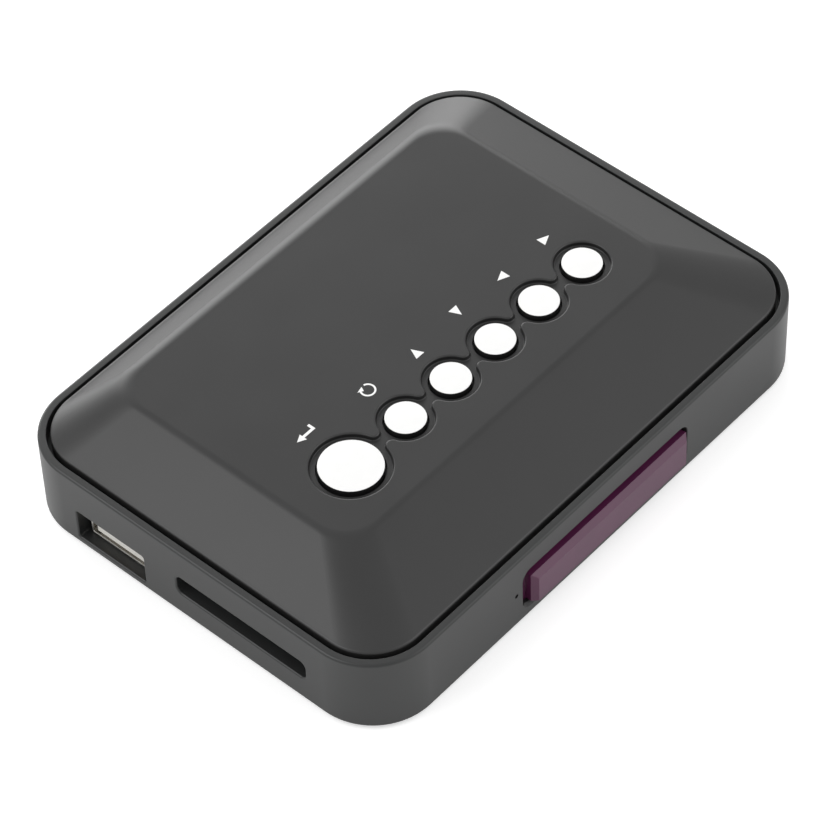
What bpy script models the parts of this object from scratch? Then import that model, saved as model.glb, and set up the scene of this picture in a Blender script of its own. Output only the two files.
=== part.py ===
"""Pocket media player: case, raised cover, six keys, window, boards and sockets.

Lengths are in metres and +Z is up. X runs along the case, the front wall with the
infrared window faces -Y, and the short wall with the card slot faces -X. Heights are
measured from the underside of the case; the parent empty lifts them onto the feet.
"""
import math

import bmesh
import bpy

# Lower case
CASE_LENGTH = 0.1100
CASE_WIDTH = 0.0802
CASE_CORNER_RADIUS = 0.0118
CASE_WALL = 0.0027
CASE_FLOOR = 0.0012
RIM_HEIGHT = 0.0156
RIM_EDGE_RADIUS = 0.0005
BASE_EDGE_RADIUS = 0.0006
LIP_WALL = 0.00145
LIP_DEPTH = 0.0030

# Top cover
COVER_GAP = 0.0007
COVER_SKIRT_WALL = 0.0015
COVER_WALL = 0.0018
COVER_EDGE_RADIUS = 0.0005
PLATEAU_HEIGHT = 0.0214
PLATEAU_FRONT_INSET = 0.0189
PLATEAU_BACK_INSET = 0.0092
PLATEAU_CORNER_RADIUS = 0.0065
FOLD_RADIUS = 0.0050

# Key row
KEY_ROW_INSET = 0.0110
KEY_ROW_OFFSET = 0.0002
KEY_ROW_MARGIN = 0.007165
LARGE_KEY_RADIUS = 0.0054
SMALL_KEY_RADIUS = 0.00345
LARGE_KEY_STEP = 0.01314
KEY_PITCH = 0.01102
SMALL_KEYS = 5
KEY_CLEARANCE = 0.00035
KEY_PROUD = 0.0001
KEY_EDGE_RADIUS = 0.0002
KEY_TRAVEL = 0.0003
KEY_FLANGE_REACH = 0.0007
KEY_FLANGE_THICKNESS = 0.0007
KEY_STEM_RADIUS = 0.0015
WELL_MARGIN = 0.00132
WELL_DEPTH = 0.0009
WELL_EDGE_RADIUS = 0.0003
WELL_NECK_HALF_WIDTH = 0.0009

# Tact switches
SWITCH_SIZE = 0.0060
SWITCH_HEIGHT = 0.0025
SWITCH_BORE_DEPTH = 0.0012
PLUNGER_RADIUS = 0.0017
PLUNGER_PROUD = 0.0008

# Infrared window
WINDOW_LENGTH = 0.0414
WINDOW_SILL = 0.00135
WINDOW_HEADROOM = 0.0014
WINDOW_CORNER_RADIUS = 0.0020
WINDOW_BORDER = 0.0017
WINDOW_BEVEL = 0.00095
WINDOW_RECESS = 0.0012
WINDOW_LIP_CHAMFER = 0.0006
WINDOW_GAP = 0.00015
WINDOW_FLANGE_REACH = 0.0009
WINDOW_FLANGE_THICKNESS = 0.0010

# Pinhole beside the window
PINHOLE_RADIUS = 0.0004
PINHOLE_SPACING = 0.0016
PINHOLE_HEIGHT = 0.0074

# Fits
SEAT_GAP = 0.0003
OVERRUN = 0.0010

# Case screws and their posts
POST_INSET = 0.0090
POST_RADIUS = 0.0034
POST_HEIGHT = 0.0080
COUNTERBORE_DEPTH = 0.0035
SCREW_HEAD_RADIUS = 0.0024
SCREW_HEAD_HEIGHT = 0.0016
SCREW_SHANK_RADIUS = 0.0012
SCREW_LENGTH = 0.0098
BOSS_RADIUS = 0.0030

# Feet
FOOT_RADIUS = 0.0040
FOOT_PROUD = 0.0006
FOOT_DIMPLE_DEPTH = 0.0006
FOOT_EDGE_RADIUS = 0.0002
FOOT_SPACING = 0.0120

# Main board
BOARD_THICKNESS = 0.0012
BOARD_LEVEL = 0.0040
BOARD_EDGE_GAP = 0.0006
BOARD_NOTCH_MARGIN = 0.0007
STANDOFF_RADIUS = 0.0022
STANDOFF_SPACING = 0.0100
BOARD_SCREW_HEAD_RADIUS = 0.0018
BOARD_SCREW_HEAD_HEIGHT = 0.0011
BOARD_SCREW_SHANK_RADIUS = 0.0009
BOARD_SCREW_SHANK_LENGTH = 0.0042

# Key board
KEY_BOARD_THICKNESS = 0.0010
KEY_BOARD_CLEARANCE = 0.0005
KEY_BOARD_FRONT = 0.0046
KEY_BOARD_BACK = 0.0098
KEY_BOARD_OVERHANG = 0.0042
KEY_BOARD_CORNER_RADIUS = 0.0010
KEY_BOSS_RADIUS = 0.0019
KEY_BOSS_OFFSET = 0.0072
KEY_SCREW_LENGTH = 0.0055

# USB socket
USB_SIDE_MARGIN = 0.0009
USB_LOWER_MARGIN = 0.0002
USB_UPPER_MARGIN = 0.0005
USB_OPENING_RADIUS = 0.0004
USB_FLOOR_GAP = 0.0005
USB_SHELL_WIDTH = 0.0131
USB_SHELL_HEIGHT = 0.0057
USB_SHELL_LENGTH = 0.0140
USB_SHELL_WALL = 0.00035
USB_SHELL_RADIUS = 0.0006
USB_WALL_REACH = 0.0009
USB_BLOCK_LENGTH = 0.0030
USB_TONGUE_WIDTH = 0.0108
USB_TONGUE_THICKNESS = 0.0018
USB_TONGUE_OFFSET = 0.0003
USB_TONGUE_RECESS = 0.0002
USB_CONTACTS = 4
USB_CONTACT_WIDTH = 0.0010
USB_CONTACT_HEIGHT = 0.00015
USB_CONTACT_PITCH = 0.0024

# Card socket
CARD_SIDE_MARGIN = 0.00015
CARD_UPPER_MARGIN = 0.0005
CARD_OPENING_RADIUS = 0.0012
CARD_BASE_WIDTH = 0.0262
CARD_BASE_LENGTH = 0.0280
CARD_BASE_FLOOR = 0.0006
CARD_RAIL_WIDTH = 0.0009
CARD_RAIL_HEIGHT = 0.0020
CARD_BACK_WALL = 0.0015
CARD_CONTACTS = 9
CARD_CONTACT_WIDTH = 0.0010
CARD_CONTACT_LENGTH = 0.0045
CARD_CONTACT_HEIGHT = 0.0002
CARD_CONTACT_PITCH = 0.0025
CARD_SHELL_WALL = 0.0003

# Back sockets
SOCKET_RECESS = 0.0005
HDMI_WIDTH = 0.0150
HDMI_HEIGHT = 0.0055
HDMI_LENGTH = 0.0115
HDMI_WALL = 0.00035
HDMI_CORNER = 0.0016
HDMI_TONGUE_WIDTH = 0.0105
HDMI_TONGUE_THICKNESS = 0.0011
HDMI_TONGUE_LENGTH = 0.0065
HDMI_BLOCK_LENGTH = 0.0025
AV_WIDTH = 0.0066
AV_LENGTH = 0.0120
AV_HEIGHT = 0.0062
AV_COLLAR_RADIUS = 0.0029
AV_BORE_RADIUS = 0.0018
AV_BORE_DEPTH = 0.0125
DC_WIDTH = 0.0090
DC_LENGTH = 0.0100
DC_HEIGHT = 0.0068
DC_COLLAR_RADIUS = 0.0032
DC_BORE_RADIUS = 0.0026
DC_BORE_DEPTH = 0.0105
DC_PIN_RADIUS = 0.00085
DC_PIN_LENGTH = 0.0090
SOCKET_CORNER_RADIUS = 0.0004

# Board parts
CHIP_SIZE = 0.0130
CHIP_HEIGHT = 0.0012
CHIP_GAP = 0.0015
SINK_SIZE = 0.0135
SINK_GAP = 0.0006
SINK_BASE = 0.0012
SINK_FIN_HEIGHT = 0.0034
SINK_FIN_THICKNESS = 0.0009
SINK_FINS = 5
MEMORY_LENGTH = 0.0080
MEMORY_WIDTH = 0.0130
MEMORY_HEIGHT = 0.0011
FLASH_LENGTH = 0.0120
FLASH_WIDTH = 0.0180
FLASH_HEIGHT = 0.0010
CRYSTAL_LENGTH = 0.0050
CRYSTAL_WIDTH = 0.0032
CRYSTAL_HEIGHT = 0.0013
COIL_SIZE = 0.0080
COIL_HEIGHT = 0.0042
COIL_CORNER_RADIUS = 0.0022
CAPACITOR_RADIUS = 0.00315
CAPACITOR_HEIGHT = 0.0070
CAPACITOR_GROOVE = 0.0003
CAPACITOR_PITCH = 0.0090
CHIP_EDGE = 0.0003

# Receiver and lamp behind the window
RECEIVER_SPACING = 0.0070
RECEIVER_WIDTH = 0.0060
RECEIVER_DEPTH = 0.0036
RECEIVER_HEIGHT = 0.0062
RECEIVER_LENS_RADIUS = 0.0021
RECEIVER_SETBACK = 0.0016
LAMP_SPACING = 0.0080
LAMP_RADIUS = 0.0015
LAMP_LENGTH = 0.0045
LAMP_RIM = 0.0004
LAMP_RIM_LENGTH = 0.0010
LAMP_SETBACK = 0.0010

# Flat cable between the boards
CABLE_CARD_GAP = 0.0009
CABLE_WIDTH = 0.0080
CABLE_THICKNESS = 0.0003
CABLE_REACH = 0.0080
CABLE_SOCKET_WIDTH = 0.0110
CABLE_SOCKET_DEPTH = 0.0032
CABLE_SOCKET_HEIGHT = 0.0016
CABLE_SLOT_DEPTH = 0.0020

# Gaps from the posts to the card socket and to the USB socket, as shares of the free width
PORT_GAP_SHARES = (0.2419, 0.2311)

# Places along the case, as shares of its half length and half width
HDMI_X_SHARE = 0.145
AV_X_SHARE = -0.273
DC_X_SHARE = 0.564
FLASH_SHARES = (0.364, -0.499)
CRYSTAL_SHARES = (-0.473, 0.748)
COIL_SHARES = (0.618, 0.299)
CAPACITOR_SHARES = (0.800, 0.0)

# Sizes that follow from the ones above
LEDGE_HEIGHT = RIM_HEIGHT - LIP_DEPTH
SKIRT_BOTTOM = LEDGE_HEIGHT + SEAT_GAP
COVER_INSET = LIP_WALL + COVER_GAP
SKIRT_INNER_INSET = COVER_INSET + COVER_SKIRT_WALL
SLOPE_START_INSET = COVER_INSET + COVER_EDGE_RADIUS
SLOPE_START_HEIGHT = RIM_HEIGHT + COVER_EDGE_RADIUS
COVER_UNDERSIDE = PLATEAU_HEIGHT - COVER_WALL
WELL_FLOOR = PLATEAU_HEIGHT - WELL_DEPTH
KEY_TOP = PLATEAU_HEIGHT + KEY_PROUD
KEY_FLANGE_TOP = COVER_UNDERSIDE - SEAT_GAP
KEY_FLANGE_BOTTOM = KEY_FLANGE_TOP - KEY_FLANGE_THICKNESS
BOARD_TOP = BOARD_LEVEL + BOARD_THICKNESS
PART_SEAT = BOARD_TOP + SEAT_GAP
WALL_INSIDE_X = -CASE_LENGTH / 2 + CASE_WALL
WALL_INSIDE_FRONT = -CASE_WIDTH / 2 + CASE_WALL
WALL_INSIDE_BACK = CASE_WIDTH / 2 - CASE_WALL
BOARD_FRONT = WALL_INSIDE_FRONT + SEAT_GAP + WINDOW_FLANGE_THICKNESS + BOARD_EDGE_GAP
BOARD_BACK = WALL_INSIDE_BACK - BOARD_EDGE_GAP
BOARD_HALF_LENGTH = CASE_LENGTH / 2 - CASE_WALL - BOARD_EDGE_GAP
POST_X = CASE_LENGTH / 2 - POST_INSET
POST_Y = CASE_WIDTH / 2 - POST_INSET
PORT_FACE_X = WALL_INSIDE_X + SEAT_GAP
USB_FRONT_X = PORT_FACE_X - USB_WALL_REACH
SOCKET_FACE_Y = CASE_WIDTH / 2 - SOCKET_RECESS
KEY_ROW_Y = -CASE_WIDTH / 2 + PLATEAU_FRONT_INSET + KEY_ROW_INSET
KEY_ROW_SPAN = LARGE_KEY_STEP + KEY_PITCH * (SMALL_KEYS - 1)
KEY_ROW_MIDDLE = (KEY_ROW_SPAN + SMALL_KEY_RADIUS - LARGE_KEY_RADIUS) / 2
KEY_ROW_START_X = KEY_ROW_OFFSET - KEY_ROW_MIDDLE
KEY_ROW_HALF = (KEY_ROW_SPAN + LARGE_KEY_RADIUS + SMALL_KEY_RADIUS) / 2
PLATEAU_SIDE_INSET = CASE_LENGTH / 2 - KEY_ROW_HALF - KEY_ROW_MARGIN
WINDOW_BOTTOM = CASE_FLOOR + WINDOW_SILL
WINDOW_TOP = LEDGE_HEIGHT - WINDOW_HEADROOM
USB_SHELL_BOTTOM = CASE_FLOOR + USB_FLOOR_GAP
USB_SHELL_TOP = USB_SHELL_BOTTOM + USB_SHELL_HEIGHT
CARD_FLOOR_TOP = PART_SEAT + CARD_BASE_FLOOR
CARD_RAIL_TOP = CARD_FLOOR_TOP + CARD_RAIL_HEIGHT
CARD_SHELL_TOP = CARD_RAIL_TOP + SEAT_GAP + CARD_SHELL_WALL
CARD_SHELL_HALF = CARD_BASE_WIDTH / 2 + SEAT_GAP + CARD_SHELL_WALL
POST_EDGE_Y = POST_Y - POST_RADIUS
PORT_WIDTH = 2 * CARD_SHELL_HALF + CARD_SIDE_MARGIN + USB_SHELL_WIDTH + USB_SIDE_MARGIN
PORT_FREE_WIDTH = 2 * POST_EDGE_Y - PORT_WIDTH
CARD_Y = -POST_EDGE_Y + PORT_GAP_SHARES[0] * PORT_FREE_WIDTH + CARD_SHELL_HALF
USB_Y = POST_EDGE_Y - PORT_GAP_SHARES[1] * PORT_FREE_WIDTH - USB_SHELL_WIDTH / 2
KEY_BOARD_BOTTOM = CARD_SHELL_TOP + KEY_BOARD_CLEARANCE
KEY_BOARD_TOP = KEY_BOARD_BOTTOM + KEY_BOARD_THICKNESS
SWITCH_BOTTOM = KEY_BOARD_TOP + SEAT_GAP
SWITCH_TOP = SWITCH_BOTTOM + SWITCH_HEIGHT
PLUNGER_BOTTOM = SWITCH_TOP - SWITCH_BORE_DEPTH + KEY_TRAVEL + SEAT_GAP
PLUNGER_TOP = SWITCH_TOP + PLUNGER_PROUD
KEY_STEM_BOTTOM = PLUNGER_TOP + SEAT_GAP
HDMI_X = HDMI_X_SHARE * CASE_LENGTH / 2
AV_X = AV_X_SHARE * CASE_LENGTH / 2
DC_X = DC_X_SHARE * CASE_LENGTH / 2
CABLE_X = PORT_FACE_X + CARD_BASE_LENGTH + CABLE_CARD_GAP + CABLE_SOCKET_WIDTH / 2
MEMORY_X = CABLE_X + CABLE_SOCKET_WIDTH / 2 + CHIP_GAP + MEMORY_LENGTH / 2
CHIP_X = MEMORY_X + MEMORY_LENGTH / 2 + CHIP_GAP + SINK_SIZE / 2
CHIP_Y = KEY_ROW_Y + KEY_BOARD_BACK + SINK_GAP + SINK_SIZE / 2

# How finely round forms are divided
CORNER_STEPS = 8
SMALL_CORNER_STEPS = 3
FOLD_STEPS = 5
EDGE_STEPS = 2
WELL_ARC_STEPS = 10
KEY_SEGMENTS = 28
ROUND_SEGMENTS = 16
CABLE_STEPS = 12
BLEND_POWER = 5
MERGE_DISTANCE = 1e-6
SMOOTH_ANGLE = math.radians(32)

# Where a screw's head and tip start to narrow
KNEE_SHARE = 0.5

# Finishes: base colour, roughness, metallic
BLACK_PLASTIC = ((0.022, 0.022, 0.023), 0.42, 0.0)
COVER_PLASTIC = ((0.024, 0.024, 0.025), 0.40, 0.0)
CAP_PLASTIC = ((0.62, 0.62, 0.62), 0.35, 0.0)
PURPLE_ACRYLIC = ((0.10, 0.012, 0.05), 0.12, 0.0)
BOARD_GREEN = ((0.012, 0.075, 0.035), 0.45, 0.0)
SOCKET_PLASTIC = ((0.015, 0.015, 0.016), 0.55, 0.0)
PALE_PLASTIC = ((0.60, 0.57, 0.48), 0.5, 0.0)
BRIGHT_STEEL = ((0.62, 0.61, 0.59), 0.28, 1.0)
SCREW_STEEL = ((0.35, 0.35, 0.36), 0.35, 1.0)
ALUMINIUM = ((0.70, 0.70, 0.71), 0.38, 1.0)
CHIP_EPOXY = ((0.018, 0.018, 0.019), 0.62, 0.0)
FERRITE = ((0.045, 0.043, 0.042), 0.7, 0.0)
CAN_SLEEVE = ((0.03, 0.035, 0.06), 0.35, 0.0)
LAMP_RESIN = ((0.55, 0.06, 0.05), 0.15, 0.0)
RUBBER = ((0.02, 0.02, 0.02), 0.85, 0.0)
CABLE_FILM = ((0.72, 0.72, 0.70), 0.5, 0.0)


def clear_scene():
    """Remove whatever the file opens with."""
    for obj in list(bpy.data.objects):
        bpy.data.objects.remove(obj, do_unlink=True)


def new_material(name, finish):
    """A Principled material with one colour, roughness and metallic value."""
    colour, roughness, metallic = finish
    material = bpy.data.materials.new(name)
    material.use_nodes = True
    shader = material.node_tree.nodes["Principled BSDF"]
    shader.inputs["Base Color"].default_value = (*colour, 1.0)
    shader.inputs["Roughness"].default_value = roughness
    shader.inputs["Metallic"].default_value = metallic
    return material


def add_object(name, bm, location=(0, 0, 0)):
    """Turn a bmesh into an object that hangs on the player's parent empty."""
    bmesh.ops.remove_doubles(bm, verts=bm.verts, dist=MERGE_DISTANCE)
    bmesh.ops.recalc_face_normals(bm, faces=bm.faces)
    mesh = bpy.data.meshes.new(name)
    bm.to_mesh(mesh)
    bm.free()
    mesh.shade_smooth()
    mesh.set_sharp_from_angle(angle=SMOOTH_ANGLE)
    obj = bpy.data.objects.new(name, mesh)
    bpy.context.scene.collection.objects.link(obj)
    obj.location = location
    obj.parent = PLAYER
    return obj


def add_piece(name, bm, finish, location=(0, 0, 0)):
    """A named piece with a material of its own."""
    obj = add_object(name, bm, location)
    obj.data.materials.append(new_material(name, finish))
    return obj


def add_tool(name, bm):
    """A guide for Boolean modifiers, left out of renders."""
    tool = add_object(name, bm)
    tool.hide_render = True
    tool.display_type = "WIRE"
    return tool


def combine(obj, tool, operation):
    """Join a tool's shape to an object, or cut it away."""
    modifier = obj.modifiers.new(tool.name, "BOOLEAN")
    modifier.operation = operation
    modifier.solver = "EXACT"
    modifier.object = tool


def rounded_outline(low, high, radius, steps=CORNER_STEPS):
    """Corners of a rounded rectangle from its low and high corner, anticlockwise."""
    centres = (
        (high[0] - radius, high[1] - radius),
        (low[0] + radius, high[1] - radius),
        (low[0] + radius, low[1] + radius),
        (high[0] - radius, low[1] + radius),
    )
    points = []
    for quarter, (x, y) in enumerate(centres):
        for step in range(steps + 1):
            angle = math.pi / 2 * (quarter + step / steps)
            points.append((x + radius * math.cos(angle), y + radius * math.sin(angle)))
    return points


def round_outline(centre, radius, steps=CORNER_STEPS):
    """A circle with as many points as a rounded rectangle of the same steps."""
    low = (centre[0] - radius, centre[1] - radius)
    high = (centre[0] + radius, centre[1] + radius)
    return rounded_outline(low, high, radius, steps)


def along_z(outline, z):
    """Lay a plan outline at a height."""
    return [(x, y, z) for x, y in outline]


def along_x(outline, x):
    """Stand an outline of (y, z) points at a place along X."""
    return [(x, y, z) for y, z in outline]


def along_y(outline, y):
    """Stand an outline of (x, z) points at a place along Y."""
    return [(x, y, z) for x, z in outline]


def skin(bm, rings, close=False):
    """Join rings of equal point counts; cap both ends, or join the last to the first."""
    loops = [[bm.verts.new(point) for point in ring] for ring in rings]
    pairs = list(zip(loops, loops[1:]))
    if close:
        pairs.append((loops[-1], loops[0]))
    else:
        bm.faces.new(loops[0])
        bm.faces.new(loops[-1])
    for lower, upper in pairs:
        count = len(lower)
        for index in range(count):
            following = (index + 1) % count
            bm.faces.new((lower[index], lower[following], upper[following], upper[index]))


def box(bm, low, high):
    """A plain block between two corners."""
    outline = [(low[0], low[1]), (high[0], low[1]), (high[0], high[1]), (low[0], high[1])]
    skin(bm, [along_z(outline, low[2]), along_z(outline, high[2])])


def turned(bm, profile, centre=(0, 0), segments=ROUND_SEGMENTS):
    """Turn (radius, height) points round a vertical axis; the ends are capped."""
    rings = []
    for radius, z in profile:
        ring = []
        for step in range(segments):
            angle = 2 * math.pi * step / segments
            ring.append((centre[0] + radius * math.cos(angle), centre[1] + radius * math.sin(angle), z))
        rings.append(ring)
    skin(bm, rings)


def turned_along_y(bm, profile, centre, segments=ROUND_SEGMENTS):
    """Turn (radius, y) points round an axis along Y through (x, z)."""
    rings = []
    for radius, y in profile:
        ring = []
        for step in range(segments):
            angle = 2 * math.pi * step / segments
            ring.append((centre[0] + radius * math.cos(angle), y, centre[1] + radius * math.sin(angle)))
        rings.append(ring)
    skin(bm, rings)


def case_ring(inset, z, radius=None):
    """A ring of the case plan drawn in by an inset."""
    half_length = CASE_LENGTH / 2 - inset
    half_width = CASE_WIDTH / 2 - inset
    corner = CASE_CORNER_RADIUS - inset if radius is None else radius
    outline = rounded_outline((-half_length, -half_width), (half_length, half_width), corner)
    return along_z(outline, z)


def edge_points(radius):
    """Steps round a quarter circle as (drawn in, below the top), from the side to the top."""
    points = []
    for step in range(EDGE_STEPS + 1):
        angle = math.pi / 2 * step / EDGE_STEPS
        points.append((radius * (1 - math.cos(angle)), radius * (1 - math.sin(angle))))
    return points


def four_corners(x, y):
    """The four plan places at (+-x, +-y)."""
    return [(sign_x * x, sign_y * y) for sign_x in (-1, 1) for sign_y in (-1, 1)]


def standoff_places():
    """The two board standoffs, one in the front half and one in the back half."""
    x = POST_X - STANDOFF_SPACING
    return [(x, -POST_Y), (-x, POST_Y)]


def foot_places():
    """The four feet, beside the screw posts."""
    return four_corners(POST_X - FOOT_SPACING, POST_Y)


def board_place(shares):
    """A plan place from shares of the case's half length and half width."""
    return (shares[0] * CASE_LENGTH / 2, shares[1] * CASE_WIDTH / 2)


def lower_case():
    """Tray with side walls, a flat rim, a lip round the cover, screw posts and openings."""
    bm = bmesh.new()
    rings = [case_ring(inset, drop) for inset, drop in reversed(edge_points(BASE_EDGE_RADIUS))]
    rings += [case_ring(inset, RIM_HEIGHT - drop) for inset, drop in edge_points(RIM_EDGE_RADIUS)]
    rings += [
        case_ring(LIP_WALL, RIM_HEIGHT),
        case_ring(LIP_WALL, LEDGE_HEIGHT),
        case_ring(CASE_WALL, LEDGE_HEIGHT),
        case_ring(CASE_WALL, CASE_FLOOR),
    ]
    skin(bm, rings)
    case = add_piece("lower_case", bm, BLACK_PLASTIC)
    combine(case, case_posts(), "UNION")
    combine(case, case_cuts(), "DIFFERENCE")
    return case


def case_posts():
    """Screw posts in the corners and standoffs under the board."""
    bm = bmesh.new()
    root = CASE_FLOOR - BASE_EDGE_RADIUS
    for place in four_corners(POST_X, POST_Y):
        turned(bm, [(POST_RADIUS, root), (POST_RADIUS, POST_HEIGHT)], place)
    for place in standoff_places():
        top = BOARD_LEVEL - SEAT_GAP
        turned(bm, [(STANDOFF_RADIUS, root), (STANDOFF_RADIUS, top)], place)
    return add_tool("lower_case_posts", bm)


def case_cuts():
    """Screw holes, foot dimples and the openings for sockets, window and pinhole."""
    bm = bmesh.new()
    cut_screw_holes(bm)
    cut_foot_dimples(bm)
    cut_port_openings(bm)
    cut_back_openings(bm)
    cut_window_opening(bm)
    return add_tool("lower_case_cuts", bm)


def cut_screw_holes(bm):
    """Counterbored holes up through the corner posts, and pilot holes in the standoffs."""
    hole = SCREW_SHANK_RADIUS + SEAT_GAP
    counterbore = SCREW_HEAD_RADIUS + SEAT_GAP
    profile = [
        (counterbore, -OVERRUN),
        (counterbore, COUNTERBORE_DEPTH),
        (hole, COUNTERBORE_DEPTH),
        (hole, POST_HEIGHT + OVERRUN),
    ]
    for place in four_corners(POST_X, POST_Y):
        turned(bm, profile, place)
    pilot = BOARD_SCREW_SHANK_RADIUS + SEAT_GAP
    for place in standoff_places():
        turned(bm, [(pilot, CASE_FLOOR), (pilot, BOARD_LEVEL + OVERRUN)], place)


def cut_foot_dimples(bm):
    """Shallow round dimples that locate the feet."""
    radius = FOOT_RADIUS + SEAT_GAP
    for place in foot_places():
        turned(bm, [(radius, -OVERRUN), (radius, FOOT_DIMPLE_DEPTH)], place)


def cut_port_openings(bm):
    """USB opening and card slot through the short wall."""
    outside = -CASE_LENGTH / 2 - OVERRUN
    inside = WALL_INSIDE_X + OVERRUN
    usb_half = USB_SHELL_WIDTH / 2 + USB_SIDE_MARGIN
    usb = rounded_outline(
        (USB_Y - usb_half, USB_SHELL_BOTTOM - USB_LOWER_MARGIN),
        (USB_Y + usb_half, USB_SHELL_TOP + USB_UPPER_MARGIN),
        USB_OPENING_RADIUS,
        SMALL_CORNER_STEPS,
    )
    card_half = CARD_SHELL_HALF + CARD_SIDE_MARGIN
    card = rounded_outline(
        (CARD_Y - card_half, PART_SEAT - SEAT_GAP),
        (CARD_Y + card_half, CARD_SHELL_TOP + CARD_UPPER_MARGIN),
        CARD_OPENING_RADIUS,
        SMALL_CORNER_STEPS,
    )
    for outline in (usb, card):
        skin(bm, [along_x(outline, outside), along_x(outline, inside)])


def cut_back_openings(bm):
    """HDMI opening and the two round jack holes through the back wall."""
    inside = WALL_INSIDE_BACK - OVERRUN
    outside = CASE_WIDTH / 2 + OVERRUN
    hdmi = hdmi_outline(SEAT_GAP)
    skin(bm, [along_y(hdmi, inside), along_y(hdmi, outside)])
    for centre, radius in (
        ((AV_X, PART_SEAT + AV_HEIGHT / 2), AV_COLLAR_RADIUS),
        ((DC_X, PART_SEAT + DC_HEIGHT / 2), DC_COLLAR_RADIUS),
    ):
        hole = radius + SEAT_GAP
        turned_along_y(bm, [(hole, inside), (hole, outside)], centre)


def cut_window_opening(bm):
    """Rounded opening for the window, its lower lip chamfered, and the pinhole beside it."""
    face = -CASE_WIDTH / 2
    outside = face - OVERRUN
    inside = WALL_INSIDE_FRONT + OVERRUN
    mouth = window_outline(0, WINDOW_LIP_CHAMFER)
    throat = window_outline(0, 0)
    skin(bm, [
        along_y(mouth, outside),
        along_y(mouth, face),
        along_y(throat, face + WINDOW_LIP_CHAMFER),
        along_y(throat, inside),
    ])
    profile = [(PINHOLE_RADIUS, outside), (PINHOLE_RADIUS, inside)]
    turned_along_y(bm, profile, (-WINDOW_LENGTH / 2 - PINHOLE_SPACING, PINHOLE_HEIGHT))


def window_outline(reach, bottom_reach):
    """The window's outline, widened by a reach, with its own reach at the bottom."""
    half = WINDOW_LENGTH / 2 + reach
    low = (-half, WINDOW_BOTTOM - bottom_reach)
    high = (half, WINDOW_TOP + reach)
    return rounded_outline(low, high, WINDOW_CORNER_RADIUS + reach, SMALL_CORNER_STEPS)


def ir_window():
    """Window with a flange behind the wall and a bevelled block that stands proud."""
    bm = bmesh.new()
    flange_back = WALL_INSIDE_FRONT + SEAT_GAP + WINDOW_FLANGE_THICKNESS
    flange_front = WALL_INSIDE_FRONT + SEAT_GAP
    face = -CASE_WIDTH / 2
    bottom_reach = WINDOW_BOTTOM - CASE_FLOOR - SEAT_GAP
    flange = window_outline(WINDOW_FLANGE_REACH, bottom_reach)
    plug = window_outline(-WINDOW_GAP, -WINDOW_GAP)
    rings = [
        along_y(flange, flange_back),
        along_y(flange, flange_front),
        along_y(plug, flange_front),
        along_y(plug, face + WINDOW_RECESS),
        along_y(window_block(0), face + WINDOW_RECESS),
        along_y(window_block(0), face),
        along_y(window_block(WINDOW_BEVEL), face - WINDOW_BEVEL),
    ]
    skin(bm, rings)
    return add_piece("ir_window", bm, PURPLE_ACRYLIC)


def window_block(inset):
    """Outline of the proud block: bevelled at its top and ends, straight at its bottom."""
    border = WINDOW_GAP + WINDOW_BORDER
    half = WINDOW_LENGTH / 2 - border - inset
    low = (-half, WINDOW_BOTTOM + WINDOW_GAP + WINDOW_GAP)
    high = (half, WINDOW_TOP - border - inset)
    return rounded_outline(low, high, WINDOW_GAP, SMALL_CORNER_STEPS)


def slope_angle(inset):
    """Angle of the cover's slope that ends at a plateau inset."""
    return math.atan2(PLATEAU_HEIGHT - SLOPE_START_HEIGHT, inset - SLOPE_START_INSET)


def slope_inset(plateau_inset, drop):
    """How far in the cover's outside lies, a drop below the plateau, on one side."""
    angle = slope_angle(plateau_inset)
    tangent_inset = plateau_inset + FOLD_RADIUS * math.tan(angle / 2)
    fold_drop = FOLD_RADIUS * (1 - math.cos(angle))
    if drop <= fold_drop:
        return tangent_inset - math.sqrt(drop * (2 * FOLD_RADIUS - drop))
    return tangent_inset - FOLD_RADIUS * math.sin(angle) - (drop - fold_drop) / math.tan(angle)


def cover_ring(side, front, back, radius, z):
    """A ring of the cover from its insets at the sides, the front and the back."""
    low = (-CASE_LENGTH / 2 + side, -CASE_WIDTH / 2 + front)
    high = (CASE_LENGTH / 2 - side, CASE_WIDTH / 2 - back)
    return along_z(rounded_outline(low, high, radius), z)


def slope_ring(drop):
    """The ring of the cover's outside at a drop below the plateau."""
    rise = PLATEAU_HEIGHT - SLOPE_START_HEIGHT
    start_radius = CASE_CORNER_RADIUS - SLOPE_START_INSET
    radius = PLATEAU_CORNER_RADIUS + (start_radius - PLATEAU_CORNER_RADIUS) * drop / rise
    insets = [
        slope_inset(inset, drop)
        for inset in (PLATEAU_SIDE_INSET, PLATEAU_FRONT_INSET, PLATEAU_BACK_INSET)
    ]
    return cover_ring(*insets, radius, PLATEAU_HEIGHT - drop)


def inner_fold_inset(plateau_inset):
    """Where the underside's fold lies below a plateau inset."""
    return plateau_inset + COVER_WALL * math.tan(slope_angle(plateau_inset) / 2)


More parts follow.
